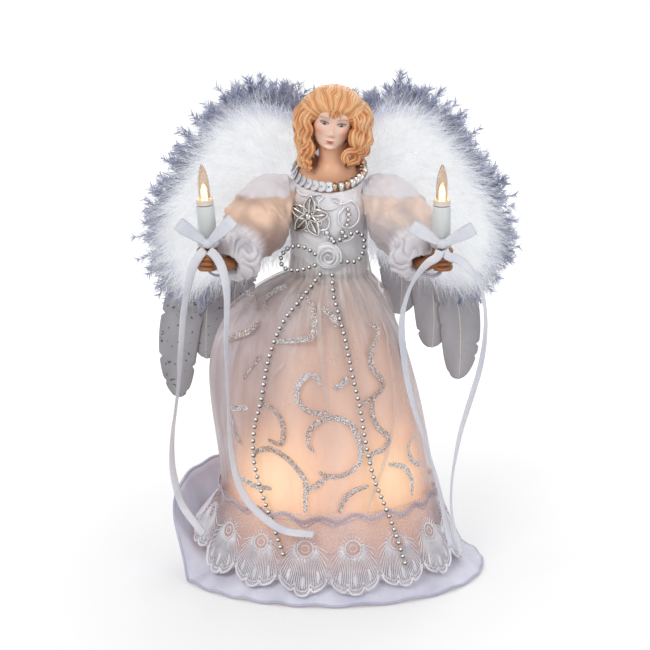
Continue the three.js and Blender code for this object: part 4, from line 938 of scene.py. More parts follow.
def make_heading():
    """Three fine cords in swags along the top of the lace."""
    edge = np.linspace(0, TURN, 2400)
    swag = (2.1 + 1.4 * np.sin(20 * edge) + 0.7 * np.sin(7 * edge + 1)) * MM
    cords = [tube(on_heading(edge, swag + 0.6 * MM * np.sin(190 * edge), 0.5 * MM), 0.36 * MM, 6),
             tube(on_heading(edge, swag + (0.8 + 0.56 * np.cos(190 * edge)) * MM, 0.4 * MM), 0.3 * MM, 5),
             tube(on_heading(edge, swag + (2.4 + 0.56 * np.sin(31 * edge)) * MM, 0.35 * MM), 0.32 * MM, 5)]
    look = plain_look("lace_heading", tone(176, 160, 170), tone(222, 210, 220), 0.5, 300, 0.2 * MM)
    return show("lace_heading", merged(cords), look)


def make_lace():
    angle = around(384)
    rows = shares(16)
    flat = [on_heading(angle, drop) for drop in LACE_HEADING * shares(5)[:-1]]
    loose = [on_lace(angle, share * lace_reach(angle)) for share in rows]
    grid = np.stack(flat + loose)
    low = np.repeat(rising(np.append([0] * len(flat), rows), 0.35, 0.6), len(angle))[:, None]
    net = show("lace_net", skin(grid, closed=True), net_look(), stands_for=["lace_hem"],
               shades=np.repeat(low, 3, 1))
    thread = plain_look("lace_thread", tone(214, 211, 219), tone(247, 245, 249), 0.6, 900, 0.2 * MM)
    thread.give({"Sheen Weight": 0.4})
    middles = TURN * (np.arange(LACE_SCALLOPS) + 0.5) / LACE_SCALLOPS
    shells = [shape for middle in middles for shape in lace_shell(middle)]
    stitches = show("lace_stitches", merged(shells), thread)
    heading = make_heading()


# Bodice
def torso_halves(rise):
    return np.interp(rise, TORSO_RISES, TORSO_HALF_WIDTHS), np.interp(rise, TORSO_RISES, TORSO_HALF_DEPTHS)


def around_torso(angle, rise, out):
    half_width, half_depth = torso_halves(rise)
    return oval(half_width + out, half_depth + out, angle, WAIST + rise)


def on_bodice(angle, rise, lift=0.0):
    return around_torso(angle, rise, BODICE_OUT + lift)


def neckline_rise(angle):
    return mix(NECKLINE_FRONT, NECKLINE_BACK, (1 + np.sin(angle)) / 2)


def make_bodice():
    angle = around(160)
    share = shares(60)[:, None]
    rise = mix(2 * MM, neckline_rise(angle), share)
    surface = on_bodice(angle, rise)
    ridge = 1 - rounded_abs(waves(surface * [1, 1, 0.55], 9 * MM, 3), 0.03)
    crease = 0.9 * MM * ridge**2 + 0.15 * MM * (1 + waves(surface, 4 * MM, 4))
    waist = 0.3 * MM * (1 + np.sin(52 * angle + 2 * np.sin(5 * angle))) * (1 - smooth(share * 3.2))
    shape = skin(on_bodice(angle, rise, np.maximum(0, crease) * 0.75 + waist), closed=True)
    look = satin_look("bodice_satin", tone(222, 220, 224), tone(249, 248, 250))
    piece = show("bodice_cloth", shape, look, stands_for=["bodice"], thick=0.6 * MM)


make_underskirt()
make_overskirt()
make_flounce()
make_lace()
make_bodice()


# Sleeves: puffs with a white cap, a peach glow and a white bell cuff
def elbow(side):
    return ELBOW * [SIGNS[side], 1, 1]


def wrist(side):
    return HANDS[side] + WRIST * [SIGNS[side], 1, 1]


def sleeve_stations(side):
    """Places along the sleeve and its radius at each, from inside the shoulder seam to the cuff's mouth."""
    sign = SIGNS[side]
    shoulder = SHOULDER * [sign, 1, 1]
    upper = np.array([sign * mix(SHOULDER[0], ELBOW[0], 0.6), -5 * MM, 194.8 * MM])
    points = [shoulder - mm([sign * 4, 0, -0.5]), shoulder]
    points += [shoulder + mm([sign * 5, -0.5, 0.5]), upper, elbow(side)]
    points += [mix(elbow(side), wrist(side), share) for share in (0.58, 0.8, 1.0)]
    return np.array(points), mm([7, 9.5, 10.7, 13, 15.5, 9.5, 11, 5.4])


SLEEVE_ROWS = 120
# The white of the cap and cuff, the painted peach glow and the painted shade of the underside of each sleeve
SLEEVE_COLOURS = {"left": ((224, 220, 224), (240, 205, 178), (146, 118, 110)),
                  "right": ((226, 223, 228), (238, 214, 200), (176, 168, 174))}


def sleeve_shades(side, grid, share, hollow):
    """Colours of a sleeve: a white cap and cuff, a painted peach glow, and painted shade on its underside and
    in the hollows of its cuff.
    """
    white, peach, rosy = (pigment(*colour) for colour in SLEEVE_COLOURS[side])
    high = grid[..., 2] + 0.8 * MM * waves(grid, 12 * MM, 23)
    patchy = 0.8 + 0.25 * waves(grid, 14 * MM, 29)
    # Painted peach glow in uneven patches round the middle of the sleeve
    glow = np.clip(hump(high - 195 * MM, 9 * MM) * patchy, 0, 1)[..., None]
    cap = rising(high, 199.5 * MM, 2 * MM)
    plain = np.maximum(cap, rising(share, 0.66, 0.05))[..., None]
    # Painted shade in the hollows of the cuff's folds
    satin = white * (1 - 0.16 * hollow)[..., None]
    return mix(mix(rosy, peach, glow), satin, plain)


def make_sleeve(side):
    points, radii = sleeve_stations(side)
    path = spline(points, SLEEVE_ROWS)
    radius = spline(np.stack([radii, 0 * radii], 1), SLEEVE_ROWS)[:, :1]
    tangent, across, up = beside(path, [0, 0, 1])
    angle = around(168)
    share = shares(SLEEVE_ROWS)[:, None]
    direction = spokes(across, up, angle)
    rough = path[:, None] + radius[..., None] * direction
    ends = sum(hump(share - at, wide) for at, wide in ((0.1, 0.1), (0.714, 0.06)))
    gather = ends * np.sin(24 * angle + 1.3 * np.sin(4 * angle) + 3 * share)
    puffed = rising(share, 0.7, 0.1) * (1 - 0.7 * rising(share, 0.92, 0.08))
    swirl = np.sin(4.5 * angle + 1.4 * np.sin(2 * angle + 1) + 6 * share + 1.5 * waves(rough, 8 * MM, 31))
    bell_fold = rising(share, 0.72, 0.14) * (2 * rounded_abs(swirl, 0.02) - 1)
    crease = 1 - rounded_abs(waves(rough, 11 * MM, 11 + SIGNS[side]), 0.03)
    crumple = 1.1 * crease**2 - 0.6 + 0.15 * waves(rough, 4.5 * MM, 17 + SIGNS[side])
    reach = radius + (0.3 * (1 + gather) * ends + 1.3 * (1 + bell_fold) * puffed + 0.7 + crumple) * MM
    grid = path[:, None] + reach[..., None] * direction
    shades = sleeve_shades(side, grid, share, puffed * (1 - bell_fold))
    hem = np.linspace(0.2, 1, 5)[:, None, None] * (2.2 * tangent[-1] + 1.2 * direction[-1]) * MM
    grid = np.concatenate([grid, grid[-1] - hem])
    shades = np.concatenate([shades, np.repeat(shades[-1:], len(hem), 0)])
    piece = show(side + "_sleeve_cloth", skin(grid, closed=True), sleeve_look(), side + "_arm",
                 [side + "_sleeve"], shades, 0.4 * MM)


for side in SIGNS:
    make_sleeve(side)


# Head
def head_place(points):
    """Points of the upright head, turned to the tilt and nod that it has."""
    x, y, z = np.moveaxis(points, -1, 0)
    nod_y = y * math.cos(HEAD_NOD) - z * math.sin(HEAD_NOD)
    nod_z = y * math.sin(HEAD_NOD) + z * math.cos(HEAD_NOD)
    tilt_x = x * math.cos(HEAD_TILT) + nod_z * math.sin(HEAD_TILT)
    tilt_z = nod_z * math.cos(HEAD_TILT) - x * math.sin(HEAD_TILT)
    return HEAD + np.stack([tilt_x, nod_y, tilt_z], -1)


def dab(x, z, at_x, at_z, wide, high):
    return np.exp(-((x - at_x) / wide) ** 2 - ((z - at_z) / high) ** 2)


def inside(distance, blur=0.14):
    """1 where a distance in millimetres is below zero, fading over a narrow edge."""
    return smooth(0.5 - distance / (2 * blur))


FACE_HEIGHTS = np.array([-13.6, -13.2, -12, -10, -7, -3, 1, 5, 9, 13])
FACE_HALF_WIDTHS = np.array([2.4, 4.2, 6, 7.5, 9, 10, 10.3, 10.2, 9.6, 8])
FACE_DEPTHS = np.array([8, 9.8, 11.4, 12, 12.3, 12.5, 12.4, 12.7, 11.6, 8])
EYE_X = 4.2
EYE_Z = 0.6
MOUTH_Z = -8.4


def face_relief(x, z):
    """How far the features stand out of the face, in millimetres."""
    side = np.abs(x)
    bridge = 1.1 * hump(x, 1.0) * rising(z, -5.4, 2.2) * smooth((3 - z) / 6)
    nose = 1.5 * dab(x, z, 0, -4.4, 1.15, 1.2) + 0.6 * dab(side, z, 1.3, -4.9, 0.7, 0.7)
    eyes = 0.6 * dab(side, z, EYE_X, EYE_Z, 1.6, 0.85) - 0.7 * dab(side, z, EYE_X, EYE_Z + 0.3, 2.4, 1.5)
    brow = 0.35 * dab(side, z, 4, 3.4, 3, 1.1)
    cheek = 0.8 * dab(side, z, 5.6, -4, 2.8, 2.8)
    lips = 0.7 * dab(x, z, 0, MOUTH_Z + 0.6, 2.1, 0.55) + 0.8 * dab(x, z, 0, MOUTH_Z - 0.65, 1.7, 0.6)
    parting = -0.5 * dab(x, z, 0, MOUTH_Z, 2.4, 0.22)
    chin = 0.9 * dab(x, z, 0, -12, 2.4, 1.4) - 0.45 * dab(x, z, 0, -10.2, 2.2, 0.6)
    return bridge + nose + eyes + brow + cheek + lips + parting + chin


def face_paint(x, z):
    """Colours of the painted face at a place on it, in millimetres."""
    side = np.abs(x)
    paint = np.broadcast_to(pigment(254, 218, 198), (*x.shape, 3)).copy()

    def coat(amount, colour):
        paint[:] = mix(paint, pigment(*colour), amount[..., None])

    coat(0.5 * dab(side, z, 6, -4.2, 2.6, 2.3), (226, 138, 112))
    # Painted shade in the socket above each eye and under the nose
    coat(0.35 * dab(side, z, EYE_X, EYE_Z + 1.4, 2.2, 0.9), (190, 122, 96))
    coat(0.3 * dab(x, z, 0, -5.6, 1.6, 0.5), (190, 112, 86))
    upper = np.abs(z - MOUTH_Z - 0.42) - 0.42 * (1 - (x / 2.4) ** 2) + 0.12 * hump(x, 0.4)
    lower = np.abs(z - MOUTH_Z + 0.5) - 0.5 * (1 - (x / 2.0) ** 2)
    coat(0.85 * np.maximum(inside(upper), inside(lower)), (200, 96, 84))
    coat(0.7 * inside(np.abs(z - MOUTH_Z) - 0.07, 0.1) * inside(side - 2.1), (132, 54, 46))
    away = np.hypot((side - EYE_X) / 1.95, (z - EYE_Z) / 0.8)
    eye = inside((away - 1) * 0.8)
    coat(eye, (224, 208, 202))
    iris = np.hypot(side - EYE_X, z - EYE_Z + 0.15)
    coat(eye * inside(iris - 0.9), (84, 66, 74))
    coat(eye * inside(iris - 0.4), (24, 16, 14))
    # A painted highlight in each eye
    glint = np.hypot(x - np.sign(x) * EYE_X + 0.25, z - EYE_Z - 0.2)
    coat(eye * inside(glint - 0.16, 0.08), (255, 255, 255))
    lid = np.abs((away - 1) * 0.8) - 0.2
    coat(inside(lid) * smooth((z - EYE_Z + 0.1) / 0.3), (66, 38, 28))
    coat(0.5 * inside(lid + 0.1) * smooth((EYE_Z - z) / 0.3), (130, 80, 60))
    arch = 3.1 + 0.6 * (1 - ((side - 4.4) / 2.7) ** 2)
    coat(0.75 * inside(np.abs(z - arch) - 0.2, 0.2) * inside(np.abs(side - 4.4) - 2.5, 0.4), (150, 92, 58))
    return paint


def make_face():
    """The painted face; its look is returned for the neck."""
    z = np.linspace(FACE_HEIGHTS[0], FACE_HEIGHTS[-1], 190)[:, None]
    turn = np.linspace(-1.75, 1.75, 181)
    half = np.interp(z, FACE_HEIGHTS, FACE_HALF_WIDTHS)
    depth = np.interp(z, FACE_HEIGHTS, FACE_DEPTHS)
    x = half * squared_off(np.sin(turn), 0.92)
    front = rising(np.cos(turn), 0.15, 0.5)
    y = -depth * squared_off(np.cos(turn), 0.78) - face_relief(x, z) * front
    grid = head_place(stacked(x, y, z) * MM)
    shades = face_paint(x, np.broadcast_to(z, x.shape))
    points, faces = skin(grid)
    faces.append(list(range(len(turn))))
    look = painted_look("painted_skin", 0.42, 120, 0.05 * MM)
    look.give({"Subsurface Weight": 0.12, "Subsurface Radius": (0.004, 0.002, 0.001), "Coat Weight": 0.1})
    show("face", (points, faces), look, stands_for=["head"], shades=shades)
    return look


def make_neck(look):
    """Bare shoulders and neck inside the neckline."""
    angle = around(72)
    rim = around_torso(angle, TORSO_RISES[-1], 0.0) * [1, 1, 0]
    rise = WAIST + neckline_rise(angle)
    rows = []
    for share, lift in ((1.0, -1.5), (0.97, -0.2), (0.88, 1.4), (0.76, 2.6)):
        rows.append(rim * share + stacked(0, 0, rise + lift * MM))
    for z, radius, x in ((211.5, 7.6, 0.8), (215, 6.6, 1.2), (219, 6.5, 1.6), (225, 6.8, 2)):
        rows.append(ring(radius * MM, angle, z * MM) + [x * MM, HEAD[1], 0])
    grid = np.stack([spline(column, 40) for column in np.stack(rows, 1)], 1)
    shape = skin(grid, closed=True)
    # A little darker than the face: painted shade under the head
    show("neck", shape, look, shades=all_over(shape, pigment(243, 190, 154)))


# Hair: combed back off the brow in a soft roll, with waved locks at the sides and back
HAIR_RADII = mm([16.2, 13.8, 16.0])
HAIR_DARK = pigment(182, 100, 50)
HAIR_MID = pigment(233, 163, 104)
HAIR_LIGHT = pigment(252, 212, 160)
# Places along each lock, from the head's middle, in millimetres
SIDE_LOCKS = [
    [(-9.5, -9, 6), (-13, -8.5, 1), (-12.5, -8, -6), (-11.5, -7.5, -12), (-12.5, -7, -18), (-11, -7, -24)],
    [(-11, -6, 8), (-15.5, -5.5, 2), (-15.2, -5.5, -6), (-14, -5.5, -13), (-14.2, -6, -20),
     (-12.5, -6.5, -25)],
    [(-12, -2, 9), (-17, -2, 2.5), (-16.5, -2.5, -6), (-15.3, -3, -13), (-15, -3.5, -19), (-13.5, -4, -24)],
    [(-12, 3, 9), (-16.8, 3.5, 2), (-16, 3.5, -7), (-14.5, 3.5, -14), (-14, 3.5, -19), (-13, 3.5, -23)],
    [(-10, 8, 8), (-13.5, 9, 1), (-13, 9.5, -8), (-12, 9, -15), (-11.5, 8.5, -20), (-11, 8, -24)],
    [(-5, 11, 10), (-6.5, 14, 2), (-6.5, 14.5, -8), (-6, 13.5, -15), (-5.5, 13, -20), (-5, 12.5, -25)],
    [(0, 11.5, 10), (0, 15, 2), (0, 15.3, -8), (0, 14.5, -15), (0, 14, -20), (0, 13, -26)],
    [(5, 11, 10), (6.5, 14, 2), (6.5, 14.5, -8), (6, 13.5, -15), (5.5, 13, -20), (5, 12.5, -25)],
    [(10, 8, 8), (13.5, 9, 1), (13.5, 9, -8), (12.5, 9, -15), (11.5, 8.5, -19), (10.5, 8, -23)],
    [(12, 2, 9), (17, 2.5, 2), (16.5, 2.5, -7), (16, 2, -12), (14.5, 1.5, -17), (12.5, 1, -21)],
    [(11.5, -3, 8), (16.8, -3, 2), (16, -3.5, -5), (17, -3.5, -11), (13.5, -4.5, -17.5), (10.5, -6, -22.5)],
    [(10, -7, 7), (14.5, -7, 1), (13.5, -7.5, -6), (14.5, -7.5, -12), (10.5, -8, -18), (7.5, -9, -22.5)],
    [(8.5, -9.5, 5), (11.5, -9.5, 0), (10, -10, -6), (11, -10, -11.5), (7.5, -10.2, -16), (6, -10.5, -20)],
]
# Wisps on the brow: where each starts round the face and how far it hangs, in degrees
WISPS = [(-16, 6), (-8, 10), (-3, 8), (4, 10), (10, 7), (18, 5)]


def hair_shades(bright):
    """Colours from the shadow to the light of the hair."""
    bright = np.clip(bright, 0, 1)[..., None]
    low, high = mix(HAIR_DARK, HAIR_MID, 2 * bright), mix(HAIR_MID, HAIR_LIGHT, 2 * bright - 1)
    return np.where(bright < 0.5, low, high).reshape(-1, 3)


def hair_way(side, back):
    """A direction from the head's middle: round the face from the brow, and back from the face."""
    return stacked(np.sin(back) * np.sin(side), -np.cos(back), np.sin(back) * np.cos(side))


def combed_hair():
    """The top of the hair, rolled up off the brow and combed to the back in fine strands."""
    side = np.radians(np.linspace(-136, 136, 420))[:, None]
    hairline = np.radians(14 + 29 * np.minimum(np.abs(side) / math.radians(90), 1.3) ** 1.6)
    back = mix(hairline, math.radians(174), shares(100))
    run = back - hairline
    roll = 0.85 + 0.23 * (1 - hump(run, 0.19)) - 0.05 * rising(run, 0.5, 1.2)
    sway = side + 0.05 * np.sin(5 * run + 3 * np.sin(4 * side)) + 0.02 * np.sin(13 * run + 9 * side)
    strand = np.cos(92 * sway + 2 * np.sin(9 * side))
    lock = np.cos(21 * sway + 1.5 * np.sin(5 * side))
    reach = roll + (0.009 * strand + 0.013 * lock) * smooth(run / 0.15)
    points = head_place(hair_way(side, back) * HAIR_RADII * reach[..., None])
    # Painted shade and light: darker in the gaps between strands and locks and along the hairline, lighter on
    # their crests
    return skin(points), hair_shades(0.6 + 0.2 * strand + 0.22 * lock - 0.35 * hump(run, 0.1))


def waved_lock(route, radius, wave, turns, dice):
    """A grooved, tapered lock along a route, in waves that grow as it goes down."""
    count = 72
    path = even(spline(np.array(route), 200), count)
    run = shares(count)[:, None]
    outward = unit(path * [1, 1, 0.1])
    _, sideways, _ = beside(path, outward)
    phase = TURN * (run * turns + dice.uniform(0, 1))
    swing = wave * rising(run, 0.1, 0.4)
    path = path + swing * (np.sin(phase) * sideways + 0.45 * np.cos(phase) * outward)
    angle = around(24)
    groove = np.cos(5 * angle + 2 * run + dice.uniform(0, TURN))
    girth = radius * round_ended(run, 0.12, 0.8, 0.6) * (1 + 0.12 * groove)
    # Painted shade and light: darker in the grooves and lighter on the ridges between them, changing along
    # the waves, with a random tone for each lock
    bright = 0.5 + 0.34 * groove + dice.uniform(-0.12, 0.12) + 0.2 * np.sin(phase)
    rings = girth[..., None] * spokes(*frames_along(path), angle, 0.8)
    return capped(path[:, None] + rings), hair_shades(bright)


def wisp(side, reach, dice):
    """A thin curl on the brow."""
    places = ((side, 33, 1.05), (side * 1.2, 28, 1.03), (side * 1.7 + 3, 25 - reach / 2, 1.0),
              (side * 1.9, 24 - reach, 0.985))
    route = [hair_way(math.radians(s), math.radians(b)) * HAIR_RADII * far for s, b, far in places]
    shape, shades = waved_lock(route, 0.5 * MM, 0.25 * MM, 1.0, dice)
    return (head_place(shape[0]), shape[1]), shades


def make_hair():
    dice = np.random.default_rng(5)
    locks = [combed_hair()]
    routes = [mm(route) for route in SIDE_LOCKS]
    locks += [waved_lock(HEAD + route, 2.7 * MM, 1.6 * MM, 2.7, dice) for route in routes]
    for first, second in zip(routes, routes[1:]):
        between = mix(first, second, 0.5) * [1.07, 1.07, 0.93]
        locks.append(waved_lock(HEAD + between, 2.0 * MM, 2.0 * MM, 3.2, dice))
    locks += [wisp(side, reach, dice) for side, reach in WISPS]
    shapes = [shape for shape, _ in locks]
    shades = np.concatenate([shade for _, shade in locks])
    look = painted_look("painted_hair", 0.42, 260, 0.2 * MM)
    look.give({"Coat Weight": 0.1})
    show("hair", merged(shapes), look, shades=shades)


make_neck(make_face())
make_hair()


# Trim on the bodice
def metal_look(name, dark, light, roughness, depth, metallic=1.0):
    return plain_look(name, tone(*dark), tone(*light), roughness, 500, depth * MM, Metallic=metallic)


silver_look = metal_look("silver", (168, 166, 166), (224, 222, 220), 0.16, 0.03)
bead_look = painted_look("silver_bead", 0.16, 500, 0.03 * MM, Metallic=1.0)
aged_look = metal_look("aged_silver", (116, 112, 108), (178, 173, 168), 0.25, 0.05)
wire_look = metal_look("bright_wire", (220, 219, 222), (250, 249, 251), 0.3, 0.04, 0.4)
bronze_look = metal_look("bronze", (140, 112, 92), (206, 182, 160), 0.2, 0.04)


def on_neckline(angle, lift):
    edge = on_bodice(angle, TORSO_RISES[-1], -0.5 * MM) * [1, 1, 0]
    return edge + stacked(0, 0, WAIST + neckline_rise(angle) + lift)


def facing(normal):
    """Three directions: across, up and out, for a piece pinned with its back to a surface."""
    out = unit(np.asarray(normal, float))
    across = unit(np.cross([0, 0, 1], out))
    return np.stack([across, np.cross(out, across), out])


# A sequin's half section from its stitch hole outward, in millimetres, and its lean against the next one
SEQUIN = [(0.42, 0.1), (0.8, 0.06), (1.5, 0.08), (2.1, 0.14), (2.5, 0.26), (2.42, 0.16)]
SEQUIN_LEAN = 0.22
# Directions round the neckline from the first to the last of a row, in degrees, and the pieces in it
SEQUIN_ROW = (270, 150, 11)
NECK_BEAD_ROW = (279, 366, 9)
BRONZE_BEADS = (0, 2, 6, 8)
END_BEAD_TURN = math.radians(380)


def make_collar():
    """Overlapping flat sequins with a stitch hole, from the front round the left side."""
    disc = shell(mm(SEQUIN), 28)
    discs = []
    for turn in np.radians(np.linspace(*SEQUIN_ROW)):
        x, y = math.cos(turn), math.sin(turn)
        out = unit(np.array([x + SEQUIN_LEAN * y, y - SEQUIN_LEAN * x, 0.5]))
        discs.append(moved(turned(disc, facing(out)), on_neckline(turn, 2.6 * MM) + out * 0.6 * MM))
    look = plain_look("sequin", tone(206, 212, 220), tone(236, 240, 245), 0.4, 400, 0.05 * MM)
    look.give({"Coat Weight": 0.25})
    show("sequins", merged(discs), look, stands_for=["sequin_collar"], thick=0.2 * MM)


def make_neck_beads():
    """Silver rings and bronze beads in turn, with a larger bronze bead at the back end."""
    silver, bronze = [], []
    for k, turn in enumerate(np.radians(np.linspace(*NECK_BEAD_ROW))):
        bead = ball((2.6 if k % 2 else 2.3) * MM, stretch=(0.7, 1, 1), steps=20)
        along = np.array([-math.sin(turn), math.cos(turn), 0])
        ways = [along, np.cross([0, 0, 1], along), [0, 0, 1]]
        shape = moved(turned(bead, ways), on_neckline(turn, 2.8 * MM))
        (bronze if k in BRONZE_BEADS else silver).append(shape)
    bronze.append(ball(3.1 * MM, on_neckline(END_BEAD_TURN, 3.0 * MM), (1, 1, 0.85), 20))
    show("neck_beads_silver", merged(silver), silver_look, stands_for=["neck_beads"])
    show("neck_beads_bronze", merged(bronze), bronze_look)


# The painted shade and the painted light of the beads
BEAD_SHADE = pigment(34, 33, 36)
BEAD_LIGHT = pigment(232, 230, 229)
BEAD_RADIUS = 1.15 * MM
BEAD_THREAD = 0.3 * MM
LOOP_PITCH = 2.9 * MM
STRING_PITCH = 3.6 * MM


def show_beads(name, path, pitch, stands_for):
    """Round beads on a thread, with painted light above and painted shade below."""
    count = max(2, round(length_of(path) / pitch))
    bead, faces = ball(BEAD_RADIUS)
    # Painted light and shade: lighter where a bead faces up, left and to the front, darker below
    bright = smooth(0.1 + 0.9 * unit(bead) @ unit(np.array([-0.35, -0.5, 0.8])))[:, None]
    thread = tube(even(path, 3 * count), BEAD_THREAD, 5)
    thread_shades = all_over(thread, mix(BEAD_SHADE, BEAD_LIGHT, 0.6))
    shades = np.concatenate([thread_shades, np.tile(mix(BEAD_SHADE, BEAD_LIGHT, bright), (count, 1))])
    shape = merged([thread] + [(bead + centre, faces) for centre in even(path, count)])
    show(name, shape, bead_look, stands_for=stands_for, shades=shades)


# Places of the loops and of the strings' tops, from the middle of the waist, in millimetres
BEAD_LOOPS = {
    "left": [(-6.85, -19.2, 14), (-11, -18.8, 16.8), (-16, -17.4, 17.6), (-21, -15.6, 15.4),
             (-23.8, -15, 10.6), (-22.6, -15.8, 6.4), (-15.5, -17.8, 5.4), (-7, -19.6, 8.4)],
    "right": [(2.3, -18.6, 20), (6.2, -18.2, 21.4), (10.5, -17.6, 23.8), (14.8, -16.2, 24.2),
              (17.2, -15, 19.5), (16.8, -15.4, 14.5), (13.8, -17, 10), (5.95, -16.9, 9.6)],
}
BEAD_STRING_TOPS = {"left": (-4.5, -20, 3.8), "right": (1.5, -20.4, 3.6)}
# Places down each string, as degrees round the gown and millimetres up
BEAD_STRINGS = {
    "left": [(240, 151), (231, 141), (228, 128), (227, 115), (227, 101), (225, 87), (226, 72), (232, 57),
             (239, 44), (246, 33), (249, 27)],
    "right": [(275, 153), (279, 145), (284, 130), (287, 115), (290, 100), (292, 80), (295, 63), (300, 49),
              (303, 37), (304.5, 20)],
}


def on_gown(angle, z):
    """A bead's place on the overskirt, or on the lace below its top edge."""
    lift = mix(2.05, 3.3, rising(z, 120 * MM, 14 * MM)) * MM
    if z > LACE_TOP:
        return on_crest(angle, z, lift)
    tip = on_lace(angle, 1.0)[2]
    return on_lace(angle, (LACE_TOP - z) / (LACE_TOP - tip), lift) * [1, 1, 0] + [0, 0, z]


def make_beads(side):
    """A loop from the rose over the bodice, and a string from the rose down the gown."""
    loop, top = (mm(places[side]) + [0, 0, WAIST] for places in (BEAD_LOOPS, BEAD_STRING_TOPS))
    show_beads(side + "_loop_beads", spline(loop, 200), LOOP_PITCH, [side + "_bead_loop"])
    rest = [on_gown(math.radians(angle), z * MM) for angle, z in BEAD_STRINGS[side]]
    show_beads(side + "_string_beads", spline([top, *rest], 400), STRING_PITCH, [side + "_bead_string"])


def pinned(shape, angle, rise, lift):
    """A flat-backed shape modelled facing up, pinned to the bodice."""
    half_width, half_depth = torso_halves(rise)
    normal = np.array([math.cos(angle) / half_width, math.sin(angle) / half_depth, 0])
    return moved(turned(shape, facing(normal)), on_bodice(angle, rise, lift))


# A place on the bodice is its direction, its height above the waist and its lift
ROSE_PLACE = (math.radians(269), 12.5 * MM, 0.6 * MM)
ROSE_TURNS = 3.4
ROSE_BASE = mm([(0.3, 0.2), (4.5, 0.2), (6.4, 0.5), (6.9, 1.5), (6.2, 2.4), (4.0, 2.9), (0.3, 3.0)])


def make_rose():
    """A ribbon rolled into a rose: a tight bud, wider turned-out petals and a round base."""
    share = shares(300)
    turn = share * ROSE_TURNS * TURN
    radius = mix(0.6, 6.1, share**0.9) * MM
    top = mix(7.6, 2.6, share**1.2) * MM + mix(0.1, 0.6, share) * MM * np.sin(1.7 * turn)
    rows = []
    for rise, lean in ((0.0, -0.9), (0.45, -0.1), (0.8, 0.2), (0.97, 0.75), (1.0, 1.2), (0.93, 1.55)):
        rows.append(ring(radius + lean * MM * mix(0.35, 0.8, share), turn, 0.4 * MM + rise * top))
    angle = around(60)
    base = capped(ring(ROSE_BASE[:, :1] * (1 + 0.02 * np.cos(5 * angle)), angle, ROSE_BASE[:, 1:]))
    look = satin_look("rose_satin", tone(238, 237, 239), tone(253, 252, 253), 0.6)
    shape = merged([skin(np.stack(rows, 1)), base])
    show("rose", pinned(shape, *ROSE_PLACE), look, stands_for=["fabric_rose"], thick=0.3 * MM)


def brooch_petal(length, half, lift):
    """A hollow leaf from the middle outward, with its rim and its rib as thick wires."""
    along = shares(14)
    width = half * round_ended(along, 0.12, 0.88, 0.8)
    crown = lift + 1.1 * MM * round_ended(along, 0.05, 0.9)
    rows = [stacked(along * length, across * width, crown - dip * MM)
            for across, dip in ((-1, 0), (-0.5, 0.7), (0, 0.3), (0.5, 0.7), (1, 0))]
    rim = np.concatenate([rows[0], rows[-1][::-1]])
    wires = [tube(even(rim, 44), 0.7 * MM, 8), tube(rows[2][1:12] + [0, 0, 0.4 * MM], 0.6 * MM, 8)]
    return skin(np.stack(rows, 1)), merged(wires)


def spun(shape, turn):
    across, up = (math.cos(turn), math.sin(turn), 0), (-math.sin(turn), math.cos(turn), 0)
    return turned(shape, [across, up, (0, 0, 1)])


BROOCH_PETALS = 5
# A petal's length, half width and lift
BROOCH_PETAL = (10.6 * MM, 3 * MM, 0.6 * MM)
BROOCH_CURL = mm([(2, 0, 1), (5.2, 1.5, 1.2), (7.6, 0.6, 1.1), (7, -1.2, 1.1), (5.6, -0.5, 1.3)])
BROOCH_PLACE = (math.radians(241), 32 * MM, 0.3 * MM)


def make_brooch():
    """An open flower of hollow petals with a domed middle and curled stems between."""
    hollow, wire = brooch_petal(*BROOCH_PETAL)
    stem = merged([tube(spline(BROOCH_CURL, 26), 0.36 * MM, 7),
                   ball(0.8 * MM, (5.4 * MM, -0.5 * MM, 1.5 * MM), steps=10)])
    hollows, wires = [], []
    for k in range(BROOCH_PETALS):
        turn = TURN * (k + 0.15) / BROOCH_PETALS
        hollows.append(spun(hollow, turn))
        wires += [spun(wire, turn), spun(stem, TURN * (k + 0.65) / BROOCH_PETALS)]
    wires.append(ball(1.9 * MM, (0, 0, 2.0 * MM), (1, 1, 0.8), 16))
    wires += [ball(0.5 * MM, ring(2.5 * MM, turn, 1.7 * MM), steps=8) for turn in around(9)]
    flower, backs = (pinned(merged(shapes), *BROOCH_PLACE) for shapes in (wires, hollows))
    show("flower_brooch", flower, silver_look, stands_for=["brooch"])
    show("brooch_hollows", backs, aged_look, thick=0.25 * MM)


FILIGREE_WIRE = 0.52 * MM
# Filigree wires on the bodice, across and above the waist, in millimetres
FILIGREE = [
    [(-15, 43.5), (-12.4, 41.6), (-8, 42), (-3.6, 43), (-2.8, 41.6), (-5, 38.6), (-2.8, 36), (1.6, 36),
     (5.6, 38.6), (4.4, 41), (0.9, 41.4)],
    [(1.5, 40), (6, 38.3), (10.4, 39.2), (13.7, 34.6), (13.4, 28.9), (9.5, 26.1), (5.2, 28), (4.3, 32.7),
     (6.9, 36.4)],
    [(-2.8, 24.5), (0.7, 21), (6, 19.4), (10.4, 20.5), (12.1, 23.3)],
    [(-6.7, 39.2), (-3.6, 34.6), (-0.1, 30.8), (-1, 26.1), (-4.5, 25.2)],
]
# Its beads in the same way, each with its radius
FILIGREE_BEADS = [
    (8.6, 35.5, 1.1), (8.8, 33, 1.3), (8.7, 30.4, 1.1), (8.2, 27.8, 1.3), (-1, 24.2, 1.5), (1.2, 21, 1.5),
    (5.6, 20.6, 1.4), (6, 24.2, 1.4),
]


def on_front(x, rise, lift):
    """A place on the front of the bodice, in millimetres across and above the waist."""
    angle = -math.acos(x * MM / on_bodice(0.0, rise * MM)[0])
    return on_bodice(angle, rise * MM, lift * MM)


